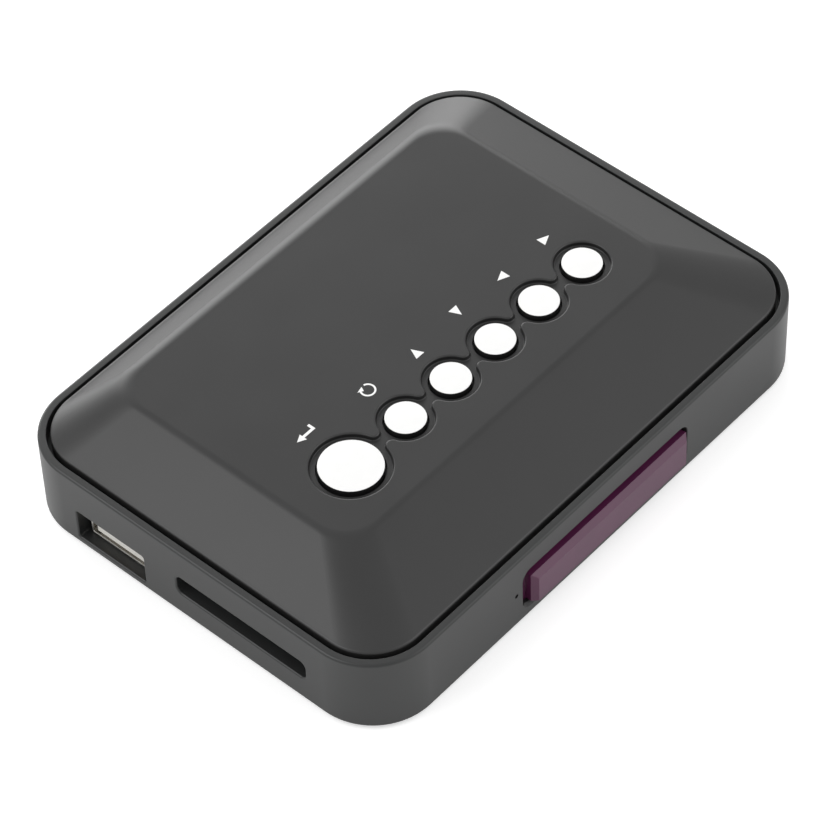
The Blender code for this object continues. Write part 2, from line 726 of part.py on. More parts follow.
def top_cover():
    """Raised shell: flat plateau, four slopes, a skirt inside the rim, wells and bosses."""
    bm = bmesh.new()
    rings = [slope_ring(drop) for drop in fold_drops()]
    rings.append(slope_ring(PLATEAU_HEIGHT - SLOPE_START_HEIGHT))
    corner_height = RIM_HEIGHT + COVER_EDGE_RADIUS
    for inset, drop in reversed(edge_points(COVER_EDGE_RADIUS)[:-1]):
        rings.append(case_ring(COVER_INSET + inset, corner_height - drop))
    inner_radius = CASE_CORNER_RADIUS - SKIRT_INNER_INSET
    slope_foot = SLOPE_START_HEIGHT - COVER_WALL
    rings += [
        case_ring(COVER_INSET, SKIRT_BOTTOM),
        case_ring(SKIRT_INNER_INSET, SKIRT_BOTTOM),
        case_ring(SKIRT_INNER_INSET, slope_foot),
        cover_ring(
            inner_fold_inset(PLATEAU_SIDE_INSET),
            inner_fold_inset(PLATEAU_FRONT_INSET),
            inner_fold_inset(PLATEAU_BACK_INSET),
            inner_radius,
            COVER_UNDERSIDE,
        ),
    ]
    skin(bm, rings)
    cover = add_piece("top_cover", bm, COVER_PLASTIC)
    combine(cover, cover_bosses(), "UNION")
    combine(cover, cover_wells(), "DIFFERENCE")
    combine(cover, cover_holes(), "DIFFERENCE")
    return cover


def cover_bosses():
    """Bosses for the case screws and the key board's screws, ending inside the cover's wall."""
    bm = bmesh.new()
    bottom = POST_HEIGHT + SEAT_GAP
    for place in four_corners(POST_X, POST_Y):
        turned(bm, [(BOSS_RADIUS, bottom), (BOSS_RADIUS, PLATEAU_HEIGHT)], place)
    bottom = KEY_BOARD_TOP + SEAT_GAP
    for place in key_boss_places():
        turned(bm, [(KEY_BOSS_RADIUS, bottom), (KEY_BOSS_RADIUS, PLATEAU_HEIGHT)], place)
    bosses = add_tool("top_cover_bosses", bm)
    combine(bosses, cover_core(), "INTERSECT")
    return bosses


def cover_core():
    """The space under the middle of the cover's wall, which trims the bosses."""
    bm = bmesh.new()
    rings = [case_ring(COVER_INSET + COVER_SKIRT_WALL / 2, POST_HEIGHT)]
    for drop in (PLATEAU_HEIGHT - SLOPE_START_HEIGHT, fold_drops()[-1], 0):
        rings.append([(x, y, z - COVER_WALL / 2) for x, y, z in slope_ring(drop)])
    skin(bm, rings)
    return add_tool("top_cover_core", bm)


def fold_drops():
    """Drops below the plateau at which the soft fold has a ring."""
    steepest = slope_angle(PLATEAU_BACK_INSET)
    angles = [steepest * step / FOLD_STEPS for step in range(FOLD_STEPS + 1)]
    return [FOLD_RADIUS * (1 - math.cos(angle)) for angle in angles]


def well_outline(growth):
    """Merged outline of the key wells: circles joined by necks, blended by a power sum."""
    centres = [x for x, radius in key_places()]
    radii = [radius + WELL_MARGIN + growth for x, radius in key_places()]
    neck = WELL_NECK_HALF_WIDTH + growth

    def half_width(x):
        total = neck ** BLEND_POWER if centres[0] <= x <= centres[-1] else 0
        for centre, radius in zip(centres, radii):
            chord = radius ** 2 - (x - centre) ** 2
            total += max(chord, 0) ** (BLEND_POWER / 2)
        return total ** (1 / BLEND_POWER)

    stations = []
    for centre, radius in zip(centres, radii):
        for step in range(WELL_ARC_STEPS + 1):
            stations.append(centre - radius * math.cos(math.pi * step / WELL_ARC_STEPS))
    inner = stations[1:-1]
    lower = [(x, KEY_ROW_Y - half_width(x)) for x in inner]
    upper = [(x, KEY_ROW_Y + half_width(x)) for x in reversed(inner)]
    return [(stations[0], KEY_ROW_Y), *lower, (stations[-1], KEY_ROW_Y), *upper]


def cover_wells():
    """Shallow merged recess round the keys, with a rounded upper edge."""
    bm = bmesh.new()
    rings = [along_z(well_outline(0), WELL_FLOOR)]
    for growth, drop in edge_points(WELL_EDGE_RADIUS):
        rings.append(along_z(well_outline(growth), PLATEAU_HEIGHT - drop))
    rings.append(along_z(well_outline(WELL_EDGE_RADIUS), PLATEAU_HEIGHT + OVERRUN))
    skin(bm, rings)
    return add_tool("top_cover_wells", bm)


def cover_holes():
    """Key holes through the well floor, and the pilot holes of the bosses."""
    bm = bmesh.new()
    for x, radius in key_places():
        hole = radius + KEY_CLEARANCE
        profile = [(hole, COVER_UNDERSIDE - OVERRUN), (hole, PLATEAU_HEIGHT + OVERRUN)]
        turned(bm, profile, (x, KEY_ROW_Y), KEY_SEGMENTS)
    pilot = SCREW_SHANK_RADIUS + SEAT_GAP
    screw_tip = COUNTERBORE_DEPTH - SEAT_GAP + SCREW_LENGTH
    for place in four_corners(POST_X, POST_Y):
        turned(bm, [(pilot, POST_HEIGHT), (pilot, screw_tip + SEAT_GAP)], place)
    pilot = BOARD_SCREW_SHANK_RADIUS + SEAT_GAP
    tip = KEY_BOARD_BOTTOM + KEY_SCREW_LENGTH
    for place in key_boss_places():
        turned(bm, [(pilot, KEY_BOARD_TOP), (pilot, tip)], place)
    return add_tool("top_cover_holes", bm)


def key_places():
    """(x, cap radius) of each key, the large one first."""
    places = [(KEY_ROW_START_X, LARGE_KEY_RADIUS)]
    for index in range(SMALL_KEYS):
        x = KEY_ROW_START_X + LARGE_KEY_STEP + KEY_PITCH * index
        places.append((x, SMALL_KEY_RADIUS))
    return places


def key_boss_places():
    """Bosses behind the key row, between the third and fourth and the last two keys."""
    places = [x for x, radius in key_places()]
    row = KEY_ROW_Y + KEY_BOSS_OFFSET
    return [((places[2] + places[3]) / 2, row), ((places[-2] + places[-1]) / 2, row)]


def key_caps():
    """Turned caps, each with a flange under the cover and a stem down to its plunger."""
    names = ("key_return", "key_loop", "key_up", "key_down", "key_left", "key_right")
    for name, (x, radius) in zip(names, key_places()):
        flange = radius + KEY_CLEARANCE + KEY_FLANGE_REACH
        profile = [
            (KEY_STEM_RADIUS, KEY_STEM_BOTTOM - KEY_TOP),
            (KEY_STEM_RADIUS, KEY_FLANGE_BOTTOM - KEY_TOP),
            (flange, KEY_FLANGE_BOTTOM - KEY_TOP),
            (flange, KEY_FLANGE_TOP - KEY_TOP),
            (radius, KEY_FLANGE_TOP - KEY_TOP),
        ]
        profile += [(radius - inset, -drop) for inset, drop in edge_points(KEY_EDGE_RADIUS)]
        bm = bmesh.new()
        turned(bm, profile, segments=KEY_SEGMENTS)
        add_piece(name, bm, CAP_PLASTIC, (x, KEY_ROW_Y, KEY_TOP))


def key_switches():
    """Square switch bodies with a round bore, and the plungers that move in them."""
    bore_radius = PLUNGER_RADIUS + SEAT_GAP
    bore_floor = SWITCH_TOP - SWITCH_BORE_DEPTH
    half = SWITCH_SIZE / 2
    for number, (x, radius) in enumerate(key_places(), start=1):
        centre = (x, KEY_ROW_Y)
        low = (x - half, KEY_ROW_Y - half)
        high = (x + half, KEY_ROW_Y + half)
        body = rounded_outline(low, high, SEAT_GAP, SMALL_CORNER_STEPS)
        bore = round_outline(centre, bore_radius, SMALL_CORNER_STEPS)
        bm = bmesh.new()
        skin(bm, [
            along_z(body, SWITCH_BOTTOM),
            along_z(body, SWITCH_TOP),
            along_z(bore, SWITCH_TOP),
            along_z(bore, bore_floor),
        ])
        add_piece(f"tact_switch_{number}", bm, SOCKET_PLASTIC)
        bm = bmesh.new()
        height = PLUNGER_TOP - PLUNGER_BOTTOM
        turned(bm, [(PLUNGER_RADIUS, 0), (PLUNGER_RADIUS, height)])
        add_piece(f"switch_plunger_{number}", bm, PALE_PLASTIC, (*centre, PLUNGER_BOTTOM))


def key_board():
    """Narrow board under the cover that carries the switches."""
    places = [x for x, radius in key_places()]
    low = (places[0] - KEY_BOARD_OVERHANG, KEY_ROW_Y - KEY_BOARD_FRONT)
    high = (places[-1] + KEY_BOARD_OVERHANG, KEY_ROW_Y + KEY_BOARD_BACK)
    outline = rounded_outline(low, high, KEY_BOARD_CORNER_RADIUS, SMALL_CORNER_STEPS)
    bm = bmesh.new()
    skin(bm, [along_z(outline, KEY_BOARD_BOTTOM), along_z(outline, KEY_BOARD_TOP)])
    board = add_piece("key_board", bm, BOARD_GREEN)
    bm = bmesh.new()
    hole = BOARD_SCREW_SHANK_RADIUS + SEAT_GAP
    for place in key_boss_places():
        profile = [(hole, KEY_BOARD_BOTTOM - OVERRUN), (hole, KEY_BOARD_TOP + OVERRUN)]
        turned(bm, profile, place)
    combine(board, add_tool("key_board_holes", bm), "DIFFERENCE")


def main_board():
    """Main board, cut away at its corners for the posts and at one side for the USB socket."""
    bm = bmesh.new()
    box(bm, (-BOARD_HALF_LENGTH, BOARD_FRONT, BOARD_LEVEL), (BOARD_HALF_LENGTH, BOARD_BACK, BOARD_TOP))
    board = add_piece("main_board", bm, BOARD_GREEN)
    bottom = BOARD_LEVEL - OVERRUN
    top = BOARD_TOP + OVERRUN
    bm = bmesh.new()
    near_x = POST_X - POST_RADIUS - BOARD_NOTCH_MARGIN
    near_y = POST_Y - POST_RADIUS - BOARD_NOTCH_MARGIN
    for sign_x, sign_y in four_corners(1, 1):
        spans_x = sorted((sign_x * near_x, sign_x * CASE_LENGTH / 2))
        spans_y = sorted((sign_y * near_y, sign_y * CASE_WIDTH / 2))
        box(bm, (spans_x[0], spans_y[0], bottom), (spans_x[1], spans_y[1], top))
    combine(board, add_tool("main_board_corners", bm), "DIFFERENCE")
    bm = bmesh.new()
    usb_half = USB_SHELL_WIDTH / 2 + SEAT_GAP
    usb_end = USB_FRONT_X + USB_SHELL_LENGTH + SEAT_GAP
    box(bm, (-CASE_LENGTH / 2, USB_Y - usb_half, bottom), (usb_end, USB_Y + usb_half, top))
    combine(board, add_tool("main_board_usb_notch", bm), "DIFFERENCE")
    bm = bmesh.new()
    hole = BOARD_SCREW_SHANK_RADIUS + SEAT_GAP
    for place in standoff_places():
        turned(bm, [(hole, bottom), (hole, top)], place)
    combine(board, add_tool("main_board_holes", bm), "DIFFERENCE")


def usb_socket():
    """USB shell sunk in the board's notch, and the tongue block inside it."""
    bottom = USB_SHELL_BOTTOM
    top = USB_SHELL_TOP
    half = USB_SHELL_WIDTH / 2
    wall = USB_SHELL_WALL
    outer = rounded_outline((USB_Y - half, bottom), (USB_Y + half, top), USB_SHELL_RADIUS, SMALL_CORNER_STEPS)
    inner_low = (USB_Y - half + wall, bottom + wall)
    inner_high = (USB_Y + half - wall, top - wall)
    inner = rounded_outline(inner_low, inner_high, USB_SHELL_RADIUS - wall, SMALL_CORNER_STEPS)
    front = USB_FRONT_X
    back = front + USB_SHELL_LENGTH
    bm = bmesh.new()
    skin(bm, [along_x(outer, front), along_x(outer, back), along_x(inner, back), along_x(inner, front)], True)
    add_piece("usb_shell", bm, BRIGHT_STEEL)
    usb_tongue(back, inner_low, inner_high)


def usb_tongue(back, low, high):
    """Pale tongue with its contact strips on top, standing out of a plastic block."""
    block_front = back - USB_BLOCK_LENGTH
    tip = USB_FRONT_X + USB_TONGUE_RECESS
    half = USB_TONGUE_WIDTH / 2
    top = (low[1] + high[1]) / 2 - USB_TONGUE_OFFSET
    bottom = top - USB_TONGUE_THICKNESS
    block_low = (low[0] + SEAT_GAP, low[1] + SEAT_GAP)
    block_high = (high[0] - SEAT_GAP, high[1] - SEAT_GAP)
    block = [block_low, (block_high[0], block_low[1]), block_high, (block_low[0], block_high[1])]
    root = [(USB_Y - half, bottom), (USB_Y + half, bottom), (USB_Y + half, top), (USB_Y - half, top)]
    bm = bmesh.new()
    skin(bm, [along_x(block, back), along_x(block, block_front), along_x(root, block_front), along_x(root, tip)])
    tongue = add_piece("usb_tongue", bm, PALE_PLASTIC)
    bm = bmesh.new()
    for index in range(USB_CONTACTS):
        y = USB_Y + (index - (USB_CONTACTS - 1) / 2) * USB_CONTACT_PITCH
        low_corner = (tip + USB_CONTACT_WIDTH, y - USB_CONTACT_WIDTH / 2, top - USB_CONTACT_HEIGHT)
        high_corner = (block_front + USB_CONTACT_WIDTH, y + USB_CONTACT_WIDTH / 2, top + USB_CONTACT_HEIGHT)
        box(bm, low_corner, high_corner)
    combine(tongue, add_tool("usb_contact_strips", bm), "UNION")


def card_socket():
    """Card socket base with rails and contacts, and the folded plate over it."""
    front = PORT_FACE_X
    back = front + CARD_BASE_LENGTH
    half = CARD_BASE_WIDTH / 2
    floor = CARD_FLOOR_TOP
    inner = half - CARD_RAIL_WIDTH
    outline = [
        (front, -half), (back, -half), (back, half), (front, half),
        (front, inner), (back - CARD_BACK_WALL, inner), (back - CARD_BACK_WALL, -inner), (front, -inner),
    ]
    outline = [(x, CARD_Y + y) for x, y in outline]
    bm = bmesh.new()
    skin(bm, [along_z(outline, PART_SEAT), along_z(outline, CARD_RAIL_TOP)])
    base = add_piece("card_socket_base", bm, SOCKET_PLASTIC)
    bm = bmesh.new()
    edge = front + SEAT_GAP
    box(bm, (edge, CARD_Y - half + SEAT_GAP, PART_SEAT), (back - SEAT_GAP, CARD_Y + half - SEAT_GAP, floor))
    combine(base, add_tool("card_socket_floor", bm), "UNION")
    bm = bmesh.new()
    contact_end = back - CARD_BACK_WALL / 2
    for index in range(CARD_CONTACTS):
        y = CARD_Y + (index - (CARD_CONTACTS - 1) / 2) * CARD_CONTACT_PITCH
        low = (contact_end - CARD_CONTACT_LENGTH, y - CARD_CONTACT_WIDTH / 2, floor - CARD_CONTACT_HEIGHT)
        high = (contact_end, y + CARD_CONTACT_WIDTH / 2, floor + CARD_CONTACT_HEIGHT)
        box(bm, low, high)
    combine(base, add_tool("card_socket_contacts", bm), "UNION")
    card_shell(front, back)


def card_shell(front, back):
    """Thin plate bent down over both rails."""
    outside = CARD_SHELL_HALF
    inside = outside - CARD_SHELL_WALL
    under = CARD_RAIL_TOP + SEAT_GAP
    top = CARD_SHELL_TOP
    section = [
        (-outside, PART_SEAT), (-inside, PART_SEAT), (-inside, under), (inside, under),
        (inside, PART_SEAT), (outside, PART_SEAT), (outside, top), (-outside, top),
    ]
    section = [(CARD_Y + y, z) for y, z in section]
    bm = bmesh.new()
    skin(bm, [along_x(section, front), along_x(section, back)])
    add_piece("card_socket_shell", bm, BRIGHT_STEEL)


def hdmi_outline(growth):
    """HDMI mouth: a flat top, and lower corners cut off at an angle."""
    half = HDMI_WIDTH / 2 + growth
    low = PART_SEAT - growth
    high = PART_SEAT + HDMI_HEIGHT + growth
    cut = HDMI_CORNER
    points = [(-half + cut, low), (half - cut, low), (half, low + cut), (half, high), (-half, high), (-half, low + cut)]
    return [(HDMI_X + x, z) for x, z in points]


def hdmi_socket():
    """HDMI shell through the back wall, and the tongue block inside it."""
    front = SOCKET_FACE_Y
    back = front - HDMI_LENGTH
    outer = hdmi_outline(0)
    inner = hdmi_outline(-HDMI_WALL)
    bm = bmesh.new()
    skin(bm, [along_y(outer, front), along_y(outer, back), along_y(inner, back), along_y(inner, front)], True)
    add_piece("hdmi_shell", bm, BRIGHT_STEEL)
    block_front = back + HDMI_BLOCK_LENGTH
    tip = block_front + HDMI_TONGUE_LENGTH
    middle = PART_SEAT + HDMI_HEIGHT / 2
    half = HDMI_TONGUE_WIDTH / 2
    block = hdmi_outline(-HDMI_WALL - SEAT_GAP)
    low = middle - HDMI_TONGUE_THICKNESS / 2
    high = middle + HDMI_TONGUE_THICKNESS / 2
    root = [(-half, low), (half, low), (half, middle), (half, high), (-half, high), (-half, middle)]
    root = [(HDMI_X + x, z) for x, z in root]
    bm = bmesh.new()
    skin(bm, [along_y(block, back), along_y(block, block_front), along_y(root, block_front), along_y(root, tip)])
    add_piece("hdmi_tongue", bm, SOCKET_PLASTIC)


def round_jack(name, x, width, length, height, collar, bore, bore_depth):
    """A block on the board with a round collar through the back wall and a blind bore."""
    front = SOCKET_FACE_Y
    shoulder = WALL_INSIDE_BACK - SEAT_GAP
    centre = (x, PART_SEAT + height / 2)
    low = (x - width / 2, PART_SEAT)
    high = (x + width / 2, PART_SEAT + height)
    body = rounded_outline(low, high, SOCKET_CORNER_RADIUS, SMALL_CORNER_STEPS)
    collar_ring = round_outline(centre, collar, SMALL_CORNER_STEPS)
    bore_ring = round_outline(centre, bore, SMALL_CORNER_STEPS)
    bm = bmesh.new()
    skin(bm, [
        along_y(body, shoulder - length),
        along_y(body, shoulder),
        along_y(collar_ring, shoulder),
        along_y(collar_ring, front),
        along_y(bore_ring, front),
        along_y(bore_ring, front - bore_depth),
    ])
    add_piece(name, bm, SOCKET_PLASTIC)


def back_jacks():
    """Audio/video jack, and the power inlet with its centre pin."""
    round_jack("av_jack", AV_X, AV_WIDTH, AV_LENGTH, AV_HEIGHT, AV_COLLAR_RADIUS, AV_BORE_RADIUS, AV_BORE_DEPTH)
    round_jack("dc_inlet", DC_X, DC_WIDTH, DC_LENGTH, DC_HEIGHT, DC_COLLAR_RADIUS, DC_BORE_RADIUS, DC_BORE_DEPTH)
    bm = bmesh.new()
    root = SOCKET_FACE_Y - DC_BORE_DEPTH + SEAT_GAP
    tip = root + DC_PIN_LENGTH
    profile = [(DC_PIN_RADIUS, root), (DC_PIN_RADIUS, tip - DC_PIN_RADIUS / 2), (DC_PIN_RADIUS / 2, tip)]
    turned_along_y(bm, profile, (DC_X, PART_SEAT + DC_HEIGHT / 2))
    add_piece("dc_inlet_pin", bm, BRIGHT_STEEL)


def chip(name, place, length, width, height):
    """A flat package on the board with bevelled upper edges."""
    x, y = place
    bm = bmesh.new()
    outline_low = (x - length / 2, y - width / 2)
    outline_high = (x + length / 2, y + width / 2)
    base = rounded_outline(outline_low, outline_high, CHIP_EDGE, SMALL_CORNER_STEPS)
    top_low = (outline_low[0] + CHIP_EDGE, outline_low[1] + CHIP_EDGE)
    top_high = (outline_high[0] - CHIP_EDGE, outline_high[1] - CHIP_EDGE)
    top = rounded_outline(top_low, top_high, CHIP_EDGE, SMALL_CORNER_STEPS)
    skin(bm, [
        along_z(base, PART_SEAT),
        along_z(base, PART_SEAT + height - CHIP_EDGE),
        along_z(top, PART_SEAT + height),
    ])
    add_piece(name, bm, CHIP_EPOXY)


def heat_sink():
    """Finned block over the main chip, its outline drawn as one comb."""
    low = PART_SEAT + CHIP_HEIGHT + SEAT_GAP
    web = low + SINK_BASE
    top = web + SINK_FIN_HEIGHT
    half = SINK_SIZE / 2
    pitch = (SINK_SIZE - SINK_FIN_THICKNESS) / (SINK_FINS - 1)
    comb = [(-half, low), (half, low)]
    for index in reversed(range(SINK_FINS)):
        left = -half + pitch * index
        right = left + SINK_FIN_THICKNESS
        if index < SINK_FINS - 1:
            comb.append((right, web))
        comb += [(right, top), (left, top)]
        if index > 0:
            comb.append((left, web))
    comb = [(CHIP_X + x, z) for x, z in comb]
    bm = bmesh.new()
    skin(bm, [along_y(comb, CHIP_Y - half), along_y(comb, CHIP_Y + half)])
    add_piece("heat_sink", bm, ALUMINIUM)


def board_parts():
    """Chips, crystal, coil and capacitors on the main board."""
    chip("main_chip", (CHIP_X, CHIP_Y), CHIP_SIZE, CHIP_SIZE, CHIP_HEIGHT)
    heat_sink()
    chip("memory_chip", (MEMORY_X, CHIP_Y), MEMORY_LENGTH, MEMORY_WIDTH, MEMORY_HEIGHT)
    chip("flash_chip", board_place(FLASH_SHARES), FLASH_LENGTH, FLASH_WIDTH, FLASH_HEIGHT)
    crystal()
    power_coil()
    x, y = board_place(CAPACITOR_SHARES)
    capacitor("capacitor_1", (x, y))
    capacitor("capacitor_2", (x, y + CAPACITOR_PITCH))


def crystal():
    """Flat metal can with round ends."""
    x, y = board_place(CRYSTAL_SHARES)
    low = (x - CRYSTAL_LENGTH / 2, y - CRYSTAL_WIDTH / 2)
    high = (x + CRYSTAL_LENGTH / 2, y + CRYSTAL_WIDTH / 2)
    outline = rounded_outline(low, high, CRYSTAL_WIDTH / 2)
    bm = bmesh.new()
    skin(bm, [along_z(outline, PART_SEAT), along_z(outline, PART_SEAT + CRYSTAL_HEIGHT)])
    add_piece("crystal", bm, BRIGHT_STEEL)


def power_coil():
    """Moulded coil with rounded corners."""
    x, y = board_place(COIL_SHARES)
    low = (x - COIL_SIZE / 2, y - COIL_SIZE / 2)
    high = (x + COIL_SIZE / 2, y + COIL_SIZE / 2)
    outline = rounded_outline(low, high, COIL_CORNER_RADIUS, SMALL_CORNER_STEPS)
    bm = bmesh.new()
    skin(bm, [along_z(outline, PART_SEAT), along_z(outline, PART_SEAT + COIL_HEIGHT)])
    add_piece("power_coil", bm, FERRITE)


def capacitor(name, place):
    """Aluminium can with the drawn-in groove near its foot."""
    groove = PART_SEAT + CAPACITOR_RADIUS / 2
    radius = CAPACITOR_RADIUS
    profile = [
        (radius, PART_SEAT),
        (radius, groove - CAPACITOR_GROOVE),
        (radius - CAPACITOR_GROOVE, groove),
        (radius, groove + CAPACITOR_GROOVE),
        (radius, PART_SEAT + CAPACITOR_HEIGHT - CAPACITOR_GROOVE),
        (radius - CAPACITOR_GROOVE, PART_SEAT + CAPACITOR_HEIGHT),
    ]
    bm = bmesh.new()
    turned(bm, profile, place)
    add_piece(name, bm, CAN_SLEEVE)


def ir_receiver():
    """Receiver block behind the window, with a round lens on its front."""
    front = BOARD_FRONT + RECEIVER_SETBACK
    back = front + RECEIVER_DEPTH
    x = -RECEIVER_SPACING
    centre = (x, PART_SEAT + RECEIVER_HEIGHT / 2)
    low = (x - RECEIVER_WIDTH / 2, PART_SEAT)
    high = (x + RECEIVER_WIDTH / 2, PART_SEAT + RECEIVER_HEIGHT)
    body = rounded_outline(low, high, SOCKET_CORNER_RADIUS, SMALL_CORNER_STEPS)
    rings = [along_y(body, back), along_y(body, front)]
    for inset, drop in edge_points(RECEIVER_LENS_RADIUS / 2):
        lens = round_outline(centre, RECEIVER_LENS_RADIUS - inset, SMALL_CORNER_STEPS)
        rings.append(along_y(lens, front - RECEIVER_LENS_RADIUS / 2 + drop))
    bm = bmesh.new()
    skin(bm, rings)
    add_piece("ir_receiver", bm, SOCKET_PLASTIC)


def indicator_lamp():
    """Small lamp lying on the board and pointing at the window."""
    front = BOARD_FRONT + LAMP_SETBACK
    back = front + LAMP_LENGTH
    rim = LAMP_RADIUS + LAMP_RIM
    centre = (LAMP_SPACING, PART_SEAT + rim)
    profile = [(rim, back), (rim, back - LAMP_RIM_LENGTH), (LAMP_RADIUS, back - LAMP_RIM_LENGTH)]
    for inset, drop in edge_points(LAMP_RADIUS / 2):
        profile.append((LAMP_RADIUS - inset, front + drop))
    bm = bmesh.new()
    turned_along_y(bm, profile, centre)
    add_piece("indicator_lamp", bm, LAMP_RESIN)


def cable_heights():
    """Heights of the cable in the key board's socket and in the main board's socket."""
    upper = KEY_BOARD_BOTTOM - SEAT_GAP - CABLE_SOCKET_HEIGHT / 2
    return upper, PART_SEAT + CABLE_SOCKET_HEIGHT / 2


def cable_sockets():
    """The two cable sockets, which face each other: one hangs, one stands on the main board."""
    upper, lower = cable_heights()
    mouth = KEY_ROW_Y + KEY_BOARD_BACK
    cable_socket("key_cable_socket", upper, mouth, -1)
    cable_socket("main_cable_socket", lower, mouth + CABLE_REACH, 1)


def cable_socket(name, height, mouth, direction):
    """A block with a slot in its mouth; direction points from the mouth into the block."""
    half_height = CABLE_SOCKET_HEIGHT / 2
    half_slot = CABLE_THICKNESS / 2 + SEAT_GAP
    slot_end = mouth + direction * CABLE_SLOT_DEPTH
    back = mouth + direction * CABLE_SOCKET_DEPTH
    section = [
        (back, -half_height), (mouth, -half_height), (mouth, -half_slot), (slot_end, -half_slot),
        (slot_end, half_slot), (mouth, half_slot), (mouth, half_height), (back, half_height),
    ]
    section = [(y, height + z) for y, z in section]
    low_x = CABLE_X - CABLE_SOCKET_WIDTH / 2
    high_x = CABLE_X + CABLE_SOCKET_WIDTH / 2
    bm = bmesh.new()
    skin(bm, [along_x(section, low_x), along_x(section, high_x)])
    add_piece(name, bm, PALE_PLASTIC)


def key_cable():
    """Flat cable that runs down from one socket to the other in a half wave."""
    upper, lower = cable_heights()
    start = KEY_ROW_Y + KEY_BOARD_BACK
    grip = CABLE_SLOT_DEPTH - SEAT_GAP
    middle_line = [(start - grip, upper)]
    for step in range(CABLE_STEPS + 1):
        share = step / CABLE_STEPS
        fall = (1 - math.cos(math.pi * share)) / 2
        middle_line.append((start + CABLE_REACH * share, upper + (lower - upper) * fall))
    middle_line.append((start + CABLE_REACH + grip, lower))
    half = CABLE_THICKNESS / 2
    section = [(y, z + half) for y, z in middle_line]
    section += [(y, z - half) for y, z in reversed(middle_line)]
    low_x = CABLE_X - CABLE_WIDTH / 2
    high_x = CABLE_X + CABLE_WIDTH / 2
    bm = bmesh.new()
    skin(bm, [along_x(section, low_x), along_x(section, high_x)])
    add_piece("key_cable", bm, CABLE_FILM)


def screw(name, place, seat, head_radius, head_height, shank_radius, length, direction):
    """A pan-head screw: its head's flat side lies at the seat, its shank points one way."""
    profile = [
        (head_radius * KNEE_SHARE, -direction * head_height),
        (head_radius, -direction * head_height * KNEE_SHARE),
        (head_radius, 0),
        (shank_radius, 0),
        (shank_radius, direction * (length - shank_radius)),
        (shank_radius * KNEE_SHARE, direction * length),
    ]
    bm = bmesh.new()
    turned(bm, profile)
    add_piece(name, bm, SCREW_STEEL, (*place, seat))


def fasteners():
    """Case screws, main board screws and key board screws."""
    seat = COUNTERBORE_DEPTH - SEAT_GAP
    for number, place in enumerate(four_corners(POST_X, POST_Y), start=1):
        screw(f"case_screw_{number}", place, seat, SCREW_HEAD_RADIUS, SCREW_HEAD_HEIGHT,
              SCREW_SHANK_RADIUS, SCREW_LENGTH, 1)
    small = (BOARD_SCREW_HEAD_RADIUS, BOARD_SCREW_HEAD_HEIGHT, BOARD_SCREW_SHANK_RADIUS)
    for number, place in enumerate(standoff_places(), start=1):
        screw(f"board_screw_{number}", place, PART_SEAT, *small, BOARD_SCREW_SHANK_LENGTH, -1)
    for number, place in enumerate(key_boss_places(), start=1):
        screw(f"key_board_screw_{number}", place, KEY_BOARD_BOTTOM - SEAT_GAP, *small, KEY_SCREW_LENGTH, 1)


def feet():
    """Rubber feet set in the dimples of the underside."""
    top = FOOT_DIMPLE_DEPTH - SEAT_GAP
    for number, place in enumerate(foot_places(), start=1):
        profile = [
            (FOOT_RADIUS - FOOT_EDGE_RADIUS, -FOOT_PROUD),
            (FOOT_RADIUS, -FOOT_PROUD + FOOT_EDGE_RADIUS),
            (FOOT_RADIUS, top),
        ]
        bm = bmesh.new()
        turned(bm, profile, place)
        add_piece(f"foot_{number}", bm, RUBBER)


clear_scene()
PLAYER = bpy.data.objects.new("media_player", None)
bpy.context.scene.collection.objects.link(PLAYER)
# The window stands proud of the front, so half of that centres the whole on the origin.
PLAYER.location = (0, WINDOW_BEVEL / 2, FOOT_PROUD)

lower_case()
top_cover()
ir_window()
key_caps()
key_switches()
key_board()
main_board()
usb_socket()
card_socket()
hdmi_socket()
back_jacks()
board_parts()
ir_receiver()
indicator_lamp()
cable_sockets()
key_cable()
fasteners()
feet()
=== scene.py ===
# %% [markdown]
# # A pocket media player
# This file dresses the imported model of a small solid-state media player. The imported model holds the
# true sizes, the sockets, boards and screws, and the joints of the six keys. Here the surfaces that
# the eye meets get their fine shape and their finish, and a camera and soft lamps are set up.

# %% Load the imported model
import math

import bmesh
import bpy
from mathutils import Matrix, Vector


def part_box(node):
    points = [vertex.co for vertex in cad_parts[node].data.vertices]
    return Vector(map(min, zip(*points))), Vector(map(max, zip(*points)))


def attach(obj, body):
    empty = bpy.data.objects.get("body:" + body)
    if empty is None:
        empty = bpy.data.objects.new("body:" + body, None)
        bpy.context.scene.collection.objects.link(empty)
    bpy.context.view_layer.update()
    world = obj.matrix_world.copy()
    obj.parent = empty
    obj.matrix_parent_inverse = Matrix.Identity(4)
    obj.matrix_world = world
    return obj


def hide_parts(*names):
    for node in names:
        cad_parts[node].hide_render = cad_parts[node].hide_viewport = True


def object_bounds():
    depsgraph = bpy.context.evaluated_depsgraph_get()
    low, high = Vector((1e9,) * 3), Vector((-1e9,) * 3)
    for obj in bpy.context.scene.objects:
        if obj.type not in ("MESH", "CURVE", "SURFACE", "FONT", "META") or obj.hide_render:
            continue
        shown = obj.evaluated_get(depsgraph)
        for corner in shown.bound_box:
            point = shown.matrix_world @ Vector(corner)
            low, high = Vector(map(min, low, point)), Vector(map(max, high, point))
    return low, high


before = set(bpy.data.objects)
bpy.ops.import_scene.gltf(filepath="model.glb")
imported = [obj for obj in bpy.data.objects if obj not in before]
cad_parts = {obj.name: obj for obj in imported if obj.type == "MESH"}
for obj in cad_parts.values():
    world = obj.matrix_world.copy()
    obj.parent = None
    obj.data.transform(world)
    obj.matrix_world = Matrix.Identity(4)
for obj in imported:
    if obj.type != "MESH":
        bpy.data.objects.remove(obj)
CAD_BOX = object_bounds()
BODY = "player"

